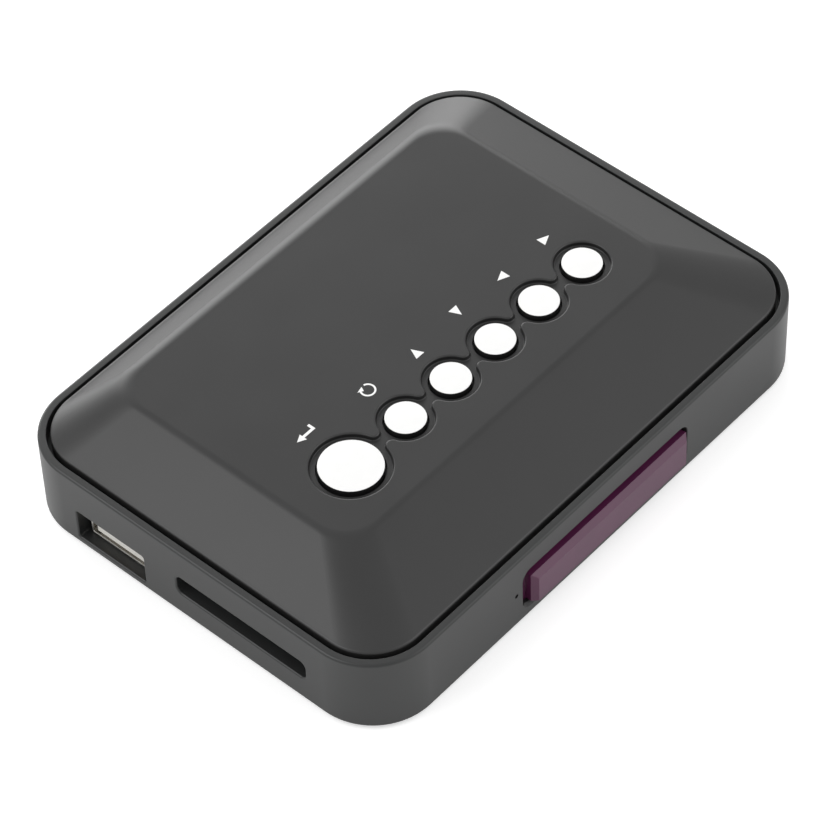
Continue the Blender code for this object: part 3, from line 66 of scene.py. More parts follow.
# %% [markdown]
# ## Sizes
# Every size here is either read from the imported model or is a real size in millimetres. The parts
# are drawn in the frame of the case: X along it, the window towards -Y, and heights from the
# underside of the case. LIFT moves what is drawn there onto the feet, where the model stands.

# %% Sizes of the case and the cover
MM = 0.001
CASE_LOW, CASE_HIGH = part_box("lower_case")
COVER_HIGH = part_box("top_cover")[1]
LIFT = Vector((0, (CASE_LOW.y + CASE_HIGH.y) / 2, CASE_LOW.z))
HALF_LENGTH = (CASE_HIGH.x - CASE_LOW.x) / 2
HALF_WIDTH = (CASE_HIGH.y - CASE_LOW.y) / 2
RIM_HEIGHT = CASE_HIGH.z - CASE_LOW.z
PLATEAU_HEIGHT = COVER_HIGH.z - CASE_LOW.z
CASE_CORNER = 11.8 * MM
CASE_WALL = 2.7 * MM
CASE_FLOOR = 1.2 * MM
RIM_EDGE = 0.5 * MM
RIM_INNER_EDGE = 0.15 * MM
BASE_EDGE = 0.6 * MM
LIP_WALL = 1.45 * MM
LIP_DEPTH = 3.0 * MM
SEAT_GAP = 0.3 * MM
OVERRUN = 1.0 * MM
LEDGE_HEIGHT = RIM_HEIGHT - LIP_DEPTH
WALL_INSIDE = HALF_WIDTH - CASE_WALL
sizes = (HALF_LENGTH * 2 / MM, HALF_WIDTH * 2 / MM, PLATEAU_HEIGHT / MM)
print("case %.1f x %.1f mm, plateau at %.1f mm" % sizes)

# %% [markdown]
# ## Drawing helpers
# A moulded case is easiest to draw as rings: the same outline again and again, a little higher or
# a little further in, with faces between neighbouring rings. A quarter circle of rings makes a
# true rounded edge, which catches the light as a moulded edge does. Holes are cut with Boolean
# modifiers whose cutters widen at the mouth, so each opening has its own rounded edge.

# %% Outlines and rings
CORNER_STEPS = 20
SMALL_CORNER_STEPS = 6
FILLET_STEPS = 5
TURN_STEPS = 64
SMALL_TURN_STEPS = 32


def rounded(low, high, radius, steps=CORNER_STEPS):
    """Points of a rounded rectangle, anticlockwise."""
    centres = (
        (high[0] - radius, high[1] - radius),
        (low[0] + radius, high[1] - radius),
        (low[0] + radius, low[1] + radius),
        (high[0] - radius, low[1] + radius),
    )
    points = []
    for quarter, (x, y) in enumerate(centres):
        for step in range(steps + 1):
            angle = math.pi / 2 * (quarter + step / steps)
            points.append((x + radius * math.cos(angle), y + radius * math.sin(angle)))
    return points


def circle(centre, radius, steps=SMALL_TURN_STEPS):
    """Points of a circle, anticlockwise."""
    points = []
    for step in range(steps):
        angle = 2 * math.pi * step / steps
        points.append((centre[0] + radius * math.cos(angle), centre[1] + radius * math.sin(angle)))
    return points


def lying(outline, z):
    """An outline drawn in plan, at a height."""
    return [(x, y, z) for x, y in outline]


def facing_x(outline, x):
    """An outline of (y, z) points, at a place along X."""
    return [(x, y, z) for y, z in outline]


def facing_y(outline, y):
    """An outline of (x, z) points, at a place along Y."""
    return [(x, y, z) for x, z in outline]


def quarter_round(radius, steps=FILLET_STEPS):
    """(drawn in, drop) of a rounded edge, from the side wall up to the flat."""
    angles = [math.pi / 2 * step / steps for step in range(steps + 1)]
    return [(radius * (1 - math.cos(angle)), radius * (1 - math.sin(angle))) for angle in angles]


def skin(bm, rings, close=False):
    """Faces between neighbouring rings, with a cap at each end unless the skin closes on itself."""
    loops = [[bm.verts.new(point) for point in ring] for ring in rings]
    pairs = list(zip(loops, loops[1:]))
    if close:
        pairs.append((loops[-1], loops[0]))
    else:
        bm.faces.new(loops[0])
        bm.faces.new(loops[-1])
    for lower, upper in pairs:
        for index in range(len(lower)):
            following = (index + 1) % len(lower)
            bm.faces.new((lower[index], lower[following], upper[following], upper[index]))


def block(bm, low, high):
    """A block between two corners."""
    outline = [(low[0], low[1]), (high[0], low[1]), (high[0], high[1]), (low[0], high[1])]
    skin(bm, [lying(outline, low[2]), lying(outline, high[2])])


def turned(bm, profile, centre=(0, 0), steps=TURN_STEPS):
    """(radius, height) points turned round an upright axis."""
    skin(bm, [lying(circle(centre, radius, steps), z) for radius, z in profile])


def turned_flat(bm, profile, centre, steps=SMALL_TURN_STEPS):
    """(radius, y) points turned round an axis along Y through (x, z)."""
    skin(bm, [facing_y(circle(centre, radius, steps), y) for radius, y in profile])


# %% [markdown]
# ## Objects
# A drawn shape becomes an object, its cutters are applied at once, and its faces are shaded
# smooth except at true edges. Weighted normals keep the big flat faces flat next to small
# rounded edges, as a tool maker's polished steel does in the real mould.

# %% Objects, cuts and shading
SMOOTH_ANGLE = math.radians(35)
WELD = 0.0005 * MM


def new_object(name, bm):
    """An object from a bmesh drawn in the case's frame."""
    bmesh.ops.remove_doubles(bm, verts=bm.verts, dist=WELD)
    bmesh.ops.recalc_face_normals(bm, faces=bm.faces)
    bmesh.ops.translate(bm, vec=LIFT, verts=bm.verts)
    mesh = bpy.data.meshes.new(name)
    bm.to_mesh(mesh)
    bm.free()
    piece = bpy.data.objects.new(name, mesh)
    bpy.context.scene.collection.objects.link(piece)
    return piece


def combine(piece, bm, operation="DIFFERENCE"):
    """Cut a shape out of a piece, or join it on, and apply the result."""
    tool = new_object(piece.name + "_tool", bm)
    modifier = piece.modifiers.new("cut", "BOOLEAN")
    modifier.operation = operation
    modifier.solver = "EXACT"
    modifier.object = tool
    shaped = piece.evaluated_get(bpy.context.evaluated_depsgraph_get())
    piece.data = bpy.data.meshes.new_from_object(shaped)
    piece.modifiers.clear()
    bpy.data.objects.remove(tool, do_unlink=True)


def shade(piece):
    """Smooth shading between true edges, with the large faces kept flat."""
    piece.data.shade_smooth()
    piece.data.set_sharp_from_angle(angle=SMOOTH_ANGLE)
    modifier = piece.modifiers.new("flat faces stay flat", "WEIGHTED_NORMAL")
    modifier.keep_sharp = True


def dress(piece, material, nodes=(), body=BODY):
    """Give a piece its finish and its body, and hide the nodes it stands for."""
    shade(piece)
    if material is not None:
        piece.data.materials.clear()
        piece.data.materials.append(material)
    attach(piece, body)
    if nodes:
        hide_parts(*nodes)
    print("%-14s %6d faces on %s" % (piece.name, len(piece.data.polygons), body))
    return piece


# %% [markdown]
# ## Finishes
# Colours are written as sRGB hex values, as a colour picker shows them, and one function turns
# them to the linear values that Blender calculates with. Most of this player is moulded or
# pressed, and such surfaces share one build: soft blotches that shift the colour and the gloss
# a little, and a fine grain in the bump. Each finish below sets them for its own stuff. Grains
# finer than about 0.2 mm would vanish in the picture, so they are drawn at about that size.

# %% Colour and node helpers


def linear(colour):
    """Linear RGBA of an sRGB hex colour."""
    channels = [int(colour[start:start + 2], 16) / 255 for start in (1, 3, 5)]
    curve = [((c + 0.055) / 1.055) ** 2.4 if c > 0.04045 else c / 12.92 for c in channels]
    return (*curve, 1)


def add_node(tree, kind, sockets=None, **settings):
    """Add a node; a socket gets a value or a link from another node's output."""
    node = tree.nodes.new(kind)
    for name, value in settings.items():
        setattr(node, name, value)
    for name, value in (sockets or {}).items():
        if isinstance(value, bpy.types.NodeSocket):
            tree.links.new(value, node.inputs[name])
        else:
            node.inputs[name].default_value = value
    return node


def textured(name, colours, roughness, grain, depth, blotch, stretch=(1, 1, 1), **uniform):
    """A Principled finish with blotches between two colours and a grain; sizes are in mm."""
    material = bpy.data.materials.new(name)
    material.use_nodes = True
    tree = material.node_tree
    tree.nodes.clear()
    place = add_node(tree, "ShaderNodeTexCoord")
    along = add_node(tree, "ShaderNodeMapping", {"Vector": place.outputs["Object"], "Scale": stretch})
    spot = {"Vector": along.outputs["Vector"], "Scale": 1 / (blotch * MM), "Detail": 4}
    blotches = add_node(tree, "ShaderNodeTexNoise", spot)
    fine = {"Vector": along.outputs["Vector"], "Scale": 1 / (grain * MM), "Detail": 2}
    grains = add_node(tree, "ShaderNodeTexNoise", fine)
    tint = add_node(tree, "ShaderNodeMixRGB", {
        "Fac": blotches.outputs["Fac"],
        "Color1": linear(colours[0]),
        "Color2": linear(colours[1]),
    })
    gloss = add_node(tree, "ShaderNodeMapRange", {
        "Value": blotches.outputs["Fac"],
        "To Min": roughness[0],
        "To Max": roughness[1],
    })
    bump = add_node(tree, "ShaderNodeBump", {
        "Height": grains.outputs["Fac"],
        "Strength": 1,
        "Distance": depth * MM,
    })
    shader = add_node(tree, "ShaderNodeBsdfPrincipled", {
        "Base Color": tint.outputs["Color"],
        "Roughness": gloss.outputs["Result"],
        "Normal": bump.outputs["Normal"],
    })
    for socket, value in uniform.items():
        shader.inputs[socket.replace("_", " ")].default_value = value
    add_node(tree, "ShaderNodeOutputMaterial", {"Surface": shader.outputs["BSDF"]})
    return material


# %% [markdown]
# The case and the cover are ABS, injection moulded in a tool with a spark-eroded surface. The eye
# reads a deep charcoal with a soft satin sheen: the colour itself is almost black, and most of
# what is seen is the room, blurred in the fine grain. ABS has an IOR of about 1.54.

# %% Plastics
ABS_IOR = 1.54
ABS_CASE = textured(
    "ABS moulded satin case", ("#262727", "#2a2b2b"), roughness=(0.34, 0.4),
    grain=0.22, depth=0.0016, blotch=9, IOR=ABS_IOR)
ABS_COVER = textured(
    "ABS moulded satin cover", ("#262626", "#2a2a2a"), roughness=(0.31, 0.37),
    grain=0.22, depth=0.0016, blotch=12, IOR=ABS_IOR)
ABS_KEY = textured(
    "ABS moulded key", ("#1c1c1c", "#202020"), roughness=(0.35, 0.42),
    grain=0.2, depth=0.001, blotch=3, IOR=ABS_IOR)
# Screen-printed ink and the keys' white tops: an opaque eggshell white that looks flat and even.
INK_WHITE = textured(
    "screen printed ink white", ("#efefee", "#f4f4f3"), roughness=(0.42, 0.5),
    grain=0.25, depth=0.001, blotch=2, IOR=1.5)
# Black glass-filled nylon of the sockets, dry and dull next to the case.
NYLON_BLACK = textured(
    "nylon moulded black", ("#1c1c1d", "#232324"), roughness=(0.5, 0.6),
    grain=0.25, depth=0.003, blotch=2, IOR=1.53)
# Natural nylon, an ivory white, as the sockets' inner tongues are moulded in.
NYLON_IVORY = textured(
    "nylon moulded natural", ("#ebe9e2", "#f4f2ec"), roughness=(0.42, 0.5),
    grain=0.25, depth=0.002, blotch=2, IOR=1.53)
# Thermoplastic rubber: the softest, dullest black on the player.
RUBBER = textured(
    "rubber moulded", ("#1b1b1b", "#242424"), roughness=(0.8, 0.9),
    grain=0.3, depth=0.006, blotch=2, IOR=1.52)


# %% [markdown]
# The window is acrylic with a deep purple dye that lets infrared through and stops nearly all of
# the light that the eye sees, so its finish is opaque. It is polished, so it mirrors the table
# sharply, and the dye shows as a dark wine colour.

# %% Acrylic, resin and film
ACRYLIC = textured(
    "acrylic dyed purple", ("#522243", "#5b2649"), roughness=(0.06, 0.1),
    grain=0.6, depth=0.0006, blotch=6, IOR=1.49)
RESIN_RED = textured(
    "epoxy resin cast red", ("#b3322b", "#c23b31"), roughness=(0.12, 0.18),
    grain=0.8, depth=0.001, blotch=2, IOR=1.55)
# Polyester film over flat copper: a pale, slightly waxy ribbon.
FILM = textured(
    "polyester film", ("#d5d5d2", "#dededa"), roughness=(0.35, 0.45),
    grain=0.5, depth=0.001, blotch=3, IOR=1.58)
# The capacitors' shrunk sleeve is glossy navy polyester.
SLEEVE = textured(
    "polyester sleeve shrunk", ("#1b1e33", "#22263f"), roughness=(0.25, 0.35),
    grain=0.4, depth=0.002, blotch=3, IOR=1.57)

# %% [markdown]
# Boards, chips and metal are hardly seen, yet a hand that opens the player finds them, so each
# has the finish of the real thing. Metals keep Blender's own IOR, and their colour is their
# reflection. Rolled and extruded metal has lines along the way it was worked, made by
# stretching the noise.

# %% Boards, chips and metals
SOLDER_MASK = textured(
    "solder mask green", ("#0f4a2c", "#135836"), roughness=(0.28, 0.4),
    grain=0.4, depth=0.004, blotch=3, IOR=1.5)
EPOXY_BLACK = textured(
    "epoxy moulded chip", ("#202020", "#282829"), roughness=(0.6, 0.7),
    grain=0.2, depth=0.004, blotch=2, IOR=1.55)
FERRITE = textured(
    "ferrite pressed", ("#36332f", "#423f3b"), roughness=(0.6, 0.75),
    grain=0.25, depth=0.006, blotch=2, IOR=2.2)
STEEL_PLATED = textured(
    "steel nickel plated", ("#cfccc6", "#dcd9d3"), roughness=(0.2, 0.3),
    grain=0.2, depth=0.0008, blotch=3, stretch=(1, 6, 6), Metallic=1.0)
STEEL_ZINC = textured(
    "steel zinc plated", ("#8d8e91", "#9fa0a3"), roughness=(0.3, 0.42),
    grain=0.2, depth=0.002, blotch=2, Metallic=1.0)
ALUMINIUM = textured(
    "aluminium extruded", ("#c9cacc", "#d6d7d9"), roughness=(0.32, 0.42),
    grain=0.2, depth=0.002, blotch=4, stretch=(1, 0.1, 1), Metallic=1.0)
GOLD = textured(
    "gold flashed contact", ("#d9ae52", "#e6bd62"), roughness=(0.2, 0.28),
    grain=0.2, depth=0.0008, blotch=1, Metallic=1.0)

# %% [markdown]
# ## The case
# The lower case is one moulding: a tray with upright walls, a flat rim and a lip that stands
# round the cover with a dark gap. It is drawn as rings from the rounded bottom edge up the wall,
# over the rim and down inside. The rim's outer edge is a true round of half a millimetre.

# %% Case rings


def case_ring(inset, z):
    """The case's plan, drawn in by an inset, at a height."""
    low = (-HALF_LENGTH + inset, -HALF_WIDTH + inset)
    high = (HALF_LENGTH - inset, HALF_WIDTH - inset)
    return lying(rounded(low, high, CASE_CORNER - inset), z)


def case_tray():
    """The tray without its openings."""
    rings = [case_ring(inset, drop) for inset, drop in reversed(quarter_round(BASE_EDGE))]
    rings += [case_ring(inset, RIM_HEIGHT - drop) for inset, drop in quarter_round(RIM_EDGE)]
    for inset, drop in reversed(quarter_round(RIM_INNER_EDGE)):
        rings.append(case_ring(LIP_WALL - inset, RIM_HEIGHT - drop))
    rings += [
        case_ring(LIP_WALL, LEDGE_HEIGHT),
        case_ring(CASE_WALL, LEDGE_HEIGHT),
        case_ring(CASE_WALL, CASE_FLOOR),
    ]
    bm = bmesh.new()
    skin(bm, rings)
    return new_object("case_shell", bm)


# %% [markdown]
# The openings follow what lies behind them, so their places are read from the sockets' own
# boxes. Each cutter is a prism that flares at the outer face by a quarter circle, which leaves
# the soft edge of a moulded opening.

# %% Places of the sockets
MOUTH_EDGE = 0.35 * MM
USB_LOW, USB_HIGH = [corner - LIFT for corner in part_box("usb_shell")]
CARD_LOW, CARD_HIGH = [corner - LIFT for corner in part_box("card_socket_shell")]
HDMI_LOW, HDMI_HIGH = [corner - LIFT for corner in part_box("hdmi_shell")]
AV_LOW, AV_HIGH = [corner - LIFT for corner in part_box("av_jack")]
DC_LOW, DC_HIGH = [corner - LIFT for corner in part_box("dc_inlet")]
WINDOW_LOW, WINDOW_HIGH = [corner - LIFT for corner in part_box("ir_window")]
USB_MARGINS = (0.9 * MM, 0.2 * MM, 0.5 * MM)
CARD_MARGINS = (0.15 * MM, 0.3 * MM, 0.5 * MM)
USB_OPENING_CORNER = 0.4 * MM
CARD_OPENING_CORNER = 1.2 * MM
HDMI_CORNER_CUT = 1.6 * MM
AV_COLLAR = 2.9 * MM
DC_COLLAR = 3.2 * MM
SOCKET_FACE = HDMI_HIGH.y


def centre_of(low, high):
    """(x, z) of the middle of a box."""
    return ((low.x + high.x) / 2, (low.z + high.z) / 2)


def port_outline(low, high, margins, corner, growth):
    """Outline of an opening in the short wall round a socket's box."""
    side, lower, upper = margins
    outline_low = (low.y - side - growth, low.z - lower - growth)
    outline_high = (high.y + side + growth, high.z + upper + growth)
    return rounded(outline_low, outline_high, corner + growth, SMALL_CORNER_STEPS)


def hdmi_outline(growth):
    """The HDMI mouth: a flat top, and lower corners cut off at an angle."""
    low_x, high_x = HDMI_LOW.x - growth, HDMI_HIGH.x + growth
    low_z, high_z = HDMI_LOW.z - growth, HDMI_HIGH.z + growth
    cut = HDMI_CORNER_CUT
    return [
        (low_x + cut, low_z), (high_x - cut, low_z), (high_x, low_z + cut),
        (high_x, high_z), (low_x, high_z), (low_x, low_z + cut),
    ]


# %% Port openings


def mouth_depths(edge):
    """(growth, depth) from outside the face, over the rounded mouth, down to the straight hole."""
    return [(edge, -OVERRUN)] + list(reversed(quarter_round(edge)))


def port_cutters():
    """Cutters for the USB opening and the card slot in the short wall."""
    bm = bmesh.new()
    ports = (
        (USB_LOW, USB_HIGH, USB_MARGINS, USB_OPENING_CORNER),
        (CARD_LOW, CARD_HIGH, CARD_MARGINS, CARD_OPENING_CORNER),
    )
    for low, high, margins, corner in ports:
        rings = []
        for growth, depth in mouth_depths(MOUTH_EDGE):
            rings.append(facing_x(port_outline(low, high, margins, corner, growth), -HALF_LENGTH + depth))
        inner = port_outline(low, high, margins, corner, 0)
        rings.append(facing_x(inner, -HALF_LENGTH + CASE_WALL + OVERRUN))
        skin(bm, rings)
    return bm


def back_cutters():
    """Cutters for the HDMI opening and the two jack holes in the back wall."""
    bm = bmesh.new()
    end = WALL_INSIDE - OVERRUN
    depths = mouth_depths(MOUTH_EDGE)
    rings = [facing_y(hdmi_outline(SEAT_GAP + growth), HALF_WIDTH - depth) for growth, depth in depths]
    skin(bm, rings + [facing_y(hdmi_outline(SEAT_GAP), end)])
    for low, high, collar in ((AV_LOW, AV_HIGH, AV_COLLAR), (DC_LOW, DC_HIGH, DC_COLLAR)):
        hole = collar + SEAT_GAP
        profile = [(hole + growth, HALF_WIDTH - depth) for growth, depth in depths]
        turned_flat(bm, profile + [(hole, end)], centre_of(low, high))
    return bm


# %% [markdown]
# The window's opening has a lower lip that slopes outwards, almost down to the bottom edge of
# the wall. Left of it is a small pinhole.

# %% Window opening and pinhole
WINDOW_FLANGE_REACH = 0.9 * MM
WINDOW_FLANGE_THICKNESS = 1.0 * MM
WINDOW_HALF = WINDOW_HIGH.x - WINDOW_FLANGE_REACH
WINDOW_TOP = WINDOW_HIGH.z - WINDOW_FLANGE_REACH
WINDOW_SILL = 1.35 * MM
WINDOW_BOTTOM = CASE_FLOOR + WINDOW_SILL
WINDOW_CORNER = 2.0 * MM
WINDOW_LIP = 0.6 * MM
WINDOW_MOUTH_EDGE = 0.2 * MM
PINHOLE_RADIUS = 0.4 * MM
PINHOLE_SPACING = 1.6 * MM
PINHOLE_HEIGHT = 7.4 * MM


def window_outline(reach, bottom_reach):
    """The window's outline widened by a reach, with its own reach at the bottom."""
    low = (-WINDOW_HALF - reach, WINDOW_BOTTOM - bottom_reach)
    high = (WINDOW_HALF + reach, WINDOW_TOP + reach)
    return rounded(low, high, WINDOW_CORNER + reach, SMALL_CORNER_STEPS)


def window_cutter():
    """Cutter for the window's opening, with its chamfered lower lip, and for the pinhole."""
    bm = bmesh.new()
    face = -HALF_WIDTH
    edge = WINDOW_MOUTH_EDGE
    rings = [facing_y(window_outline(edge, WINDOW_LIP), face - OVERRUN)]
    for inset, drop in reversed(quarter_round(edge)):
        rings.append(facing_y(window_outline(inset, WINDOW_LIP - drop), face + drop))
    rings.append(facing_y(window_outline(0, 0), face + WINDOW_LIP))
    rings.append(facing_y(window_outline(0, 0), -WALL_INSIDE + OVERRUN))
    skin(bm, rings)
    pin = [(PINHOLE_RADIUS, face - OVERRUN), (PINHOLE_RADIUS, -WALL_INSIDE + OVERRUN)]
    turned_flat(bm, pin, (-WINDOW_HALF - PINHOLE_SPACING, PINHOLE_HEIGHT))
    return bm


# %% [markdown]
# Underneath, four screws come up through counterbored posts and four feet sit in round dimples.
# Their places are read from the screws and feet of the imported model.

# %% Underside and the finished case
POST_RADIUS = 3.4 * MM
POST_HEIGHT = 8.0 * MM
COUNTERBORE_RADIUS = 2.7 * MM
COUNTERBORE_DEPTH = 3.5 * MM
SCREW_HOLE = 1.5 * MM
FOOT_RADIUS = 4.0 * MM
FOOT_DIMPLE = 0.6 * MM
CASE_SCREWS = ["case_screw_%d" % number for number in range(1, 5)]
FEET = ["foot_%d" % number for number in range(1, 5)]


def plan_middle(node):
    """(x, y) of the middle of a node, in the case's frame."""
    low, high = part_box(node)
    return ((low.x + high.x) / 2 - LIFT.x, (low.y + high.y) / 2 - LIFT.y)


def underside_cutters():
    """Cutters for the screw holes and the feet's dimples."""
    bm = bmesh.new()
    for node in CASE_SCREWS:
        profile = [
            (COUNTERBORE_RADIUS + MOUTH_EDGE, -OVERRUN),
            (COUNTERBORE_RADIUS + MOUTH_EDGE, 0),
            (COUNTERBORE_RADIUS, MOUTH_EDGE),
            (COUNTERBORE_RADIUS, COUNTERBORE_DEPTH),
            (SCREW_HOLE, COUNTERBORE_DEPTH),
            (SCREW_HOLE, POST_HEIGHT + OVERRUN),
        ]
        turned(bm, profile, plan_middle(node))
    for node in FEET:
        dimple = FOOT_RADIUS + SEAT_GAP
        turned(bm, [(dimple, -OVERRUN), (dimple, FOOT_DIMPLE)], plan_middle(node))
    return bm


def case_posts():
    """Screw posts that stand on the floor of the case."""
    bm = bmesh.new()
    for node in CASE_SCREWS:
        turned(bm, [(POST_RADIUS, CASE_FLOOR / 2), (POST_RADIUS, POST_HEIGHT)], plan_middle(node))
    return bm


case_shell = case_tray()
combine(case_shell, case_posts(), "UNION")
combine(case_shell, port_cutters())
combine(case_shell, back_cutters())
combine(case_shell, window_cutter())
combine(case_shell, underside_cutters())
dress(case_shell, ABS_CASE, ["lower_case"])

# %% [markdown]
# ## The cover
# The cover is a second moulding, set inside the rim. A flat plateau stands off centre, nearer to
# the back, so the four slopes that fall from it have four different angles. The folds between
# them are soft. Each ring of the slope is drawn from three insets, one for the two sides, one
# for the front and one for the back, with a corner radius that grows on the way down.

# %% Cover rings
COVER_GAP = 0.7 * MM
COVER_SKIRT_WALL = 1.5 * MM
COVER_WALL = 1.8 * MM
COVER_EDGE = 0.5 * MM
PLATEAU_INSETS = (14.8 * MM, 18.9 * MM, 9.2 * MM)
PLATEAU_CORNER = 6.5 * MM
FOLD_RADIUS = 4.0 * MM
FOLD_STEPS = 12
COVER_INSET = LIP_WALL + COVER_GAP
SKIRT_BOTTOM = LEDGE_HEIGHT + SEAT_GAP
SKIRT_INNER = COVER_INSET + COVER_SKIRT_WALL
SLOPE_INSET = COVER_INSET + COVER_EDGE
SLOPE_HEIGHT = RIM_HEIGHT + COVER_EDGE
SLOPE_RISE = PLATEAU_HEIGHT - SLOPE_HEIGHT
UNDERSIDE = PLATEAU_HEIGHT - COVER_WALL


def slope_angle(plateau_inset):
    """Angle of the slope that ends at a plateau inset."""
    return math.atan2(SLOPE_RISE, plateau_inset - SLOPE_INSET)


def slope_inset(plateau_inset, drop):
    """How far in the outside lies, a drop below the plateau: first the fold's arc, then the slope."""
    angle = slope_angle(plateau_inset)
    tangent = plateau_inset + FOLD_RADIUS * math.tan(angle / 2)
    fold_drop = FOLD_RADIUS * (1 - math.cos(angle))
    if drop <= fold_drop:
        return tangent - math.sqrt(drop * (2 * FOLD_RADIUS - drop))
    return tangent - FOLD_RADIUS * math.sin(angle) - (drop - fold_drop) / math.tan(angle)


def cover_ring(insets, radius, z):
    """A ring of the cover from its insets at the sides, the front and the back."""
    side, front, back = insets
    low = (-HALF_LENGTH + side, -HALF_WIDTH + front)
    high = (HALF_LENGTH - side, HALF_WIDTH - back)
    return lying(rounded(low, high, radius), z)


def slope_ring(drop):
    """The ring of the outside at a drop below the plateau."""
    start = CASE_CORNER - SLOPE_INSET
    radius = PLATEAU_CORNER + (start - PLATEAU_CORNER) * drop / SLOPE_RISE
    insets = [slope_inset(inset, drop) for inset in PLATEAU_INSETS]
    return cover_ring(insets, radius, PLATEAU_HEIGHT - drop)


def cover_hood():
    """The cover without its wells and holes."""
    steepest = slope_angle(min(PLATEAU_INSETS))
    angles = [steepest * step / FOLD_STEPS for step in range(FOLD_STEPS + 1)]
    rings = [slope_ring(FOLD_RADIUS * (1 - math.cos(angle))) for angle in angles]
    rings.append(slope_ring(SLOPE_RISE))
    for inset, drop in reversed(quarter_round(COVER_EDGE)[:-1]):
        rings.append(case_ring(COVER_INSET + inset, SLOPE_HEIGHT - drop))
    inner = [inset + COVER_WALL * math.tan(slope_angle(inset) / 2) for inset in PLATEAU_INSETS]
    rings += [
        case_ring(COVER_INSET, SKIRT_BOTTOM),
        case_ring(SKIRT_INNER, SKIRT_BOTTOM),
        case_ring(SKIRT_INNER, SLOPE_HEIGHT - COVER_WALL),
        cover_ring(inner, CASE_CORNER - SKIRT_INNER, UNDERSIDE),
    ]
    bm = bmesh.new()
    skin(bm, rings)
    return new_object("cover_shell", bm)


# %% [markdown]
# Each key sits in a shallow round well, and the wells run into each other through narrow necks.
# Each well is a circle. A small circle that touches two neighbours from outside gives the neck:
# its arc leads from one well into the next without a corner, as the cutter of the mould did.

# %% Key places and wells
KEYS = ("return", "loop", "up", "down", "left", "right")
KEY_FLANGE = 1.05 * MM
KEY_CLEARANCE = 0.35 * MM
WELL_MARGIN = 1.32 * MM
WELL_DEPTH = 0.9 * MM
WELL_EDGE = 0.35 * MM
WELL_FOOT = 0.2 * MM
NECK_RADIUS = 1.15 * MM
WELL_ARC_STEPS = 24
NECK_ARC_STEPS = 8


def key_circle(key):
    """(x, cap radius) of a key, from its node's box, whose widest part is the flange."""
    low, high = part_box("key_" + key)
    return plan_middle("key_" + key)[0], (high.x - low.x) / 2 - KEY_FLANGE


KEY_CIRCLES = [key_circle(key) for key in KEYS]
KEY_ROW = plan_middle("key_return")[1]
KEY_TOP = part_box("key_return")[1].z - LIFT.z


def arc(centre, radius, start, end, steps):
    """Points of an arc between two angles."""
    points = []
    for step in range(steps + 1):
        angle = start + (end - start) * step / steps
        points.append((centre[0] + radius * math.cos(angle), centre[1] + radius * math.sin(angle)))
    return points


def well_side(growth):
    """The wells' outline on the side towards +Y, from the first well to the last, about the row."""
    neck = NECK_RADIUS - growth
    wells = [(x, radius + WELL_MARGIN + growth) for x, radius in KEY_CIRCLES]
    points = []
    angle = math.pi
    for (x, radius), (next_x, next_radius) in zip(wells, wells[1:]):
        apart = next_x - x
        reach, next_reach = radius + neck, next_radius + neck
        along = (apart ** 2 + reach ** 2 - next_reach ** 2) / (2 * apart)
        height = math.sqrt(reach ** 2 - along ** 2)
        leave = math.atan2(height, along)
        arrive = math.atan2(height, along - apart)
        points += arc((x, 0), radius, angle, leave, WELL_ARC_STEPS)
        points += arc((x + along, height), neck, leave - math.pi, arrive - math.pi, NECK_ARC_STEPS)[1:-1]
        angle = arrive
    x, radius = wells[-1]
    return points + arc((x, 0), radius, angle, 0, WELL_ARC_STEPS)


def well_outline(growth):
    """The wells' merged outline, widened by a growth."""
    side = well_side(growth)
    upper = [(x, KEY_ROW + y) for x, y in side]
    lower = [(x, KEY_ROW - y) for x, y in reversed(side[1:-1])]
    return upper + lower


def well_cutter():
    """Cutter for the wells, round at the foot of the wall and at its upper edge."""
    floor = PLATEAU_HEIGHT - WELL_DEPTH
    rings = [lying(well_outline(-drop), floor + inset) for inset, drop in quarter_round(WELL_FOOT)]
    for growth, drop in quarter_round(WELL_EDGE):
        rings.append(lying(well_outline(growth), PLATEAU_HEIGHT - drop))
    rings.append(lying(well_outline(WELL_EDGE), PLATEAU_HEIGHT + OVERRUN))
    bm = bmesh.new()
    skin(bm, rings)
    return bm


def key_hole_cutters():
    """Cutters for the six key holes in the wells' floor."""
    bm = bmesh.new()
    for x, radius in KEY_CIRCLES:
        hole = radius + KEY_CLEARANCE
        turned(bm, [(hole, UNDERSIDE - OVERRUN), (hole, PLATEAU_HEIGHT + OVERRUN)], (x, KEY_ROW))
    return bm


cover_shell = cover_hood()
combine(cover_shell, well_cutter())
combine(cover_shell, key_hole_cutters())
dress(cover_shell, ABS_COVER, ["top_cover"])

# %% [markdown]
# ## The keys
# Each key is a turned cap with a flange that keeps it under the cover and a stem down to its
# switch. The cap is black, and its top is printed white almost to the edge, so a thin dark
# line shows below each white disc. Every cap rides on its own moving body.

# %% Key caps
KEY_EDGE = 0.1 * MM
KEY_DOME = 0.06 * MM
KEY_FLANGE_THICKNESS = 0.7 * MM
KEY_STEM = 1.5 * MM
PRINT_MARGIN = 0.02 * MM


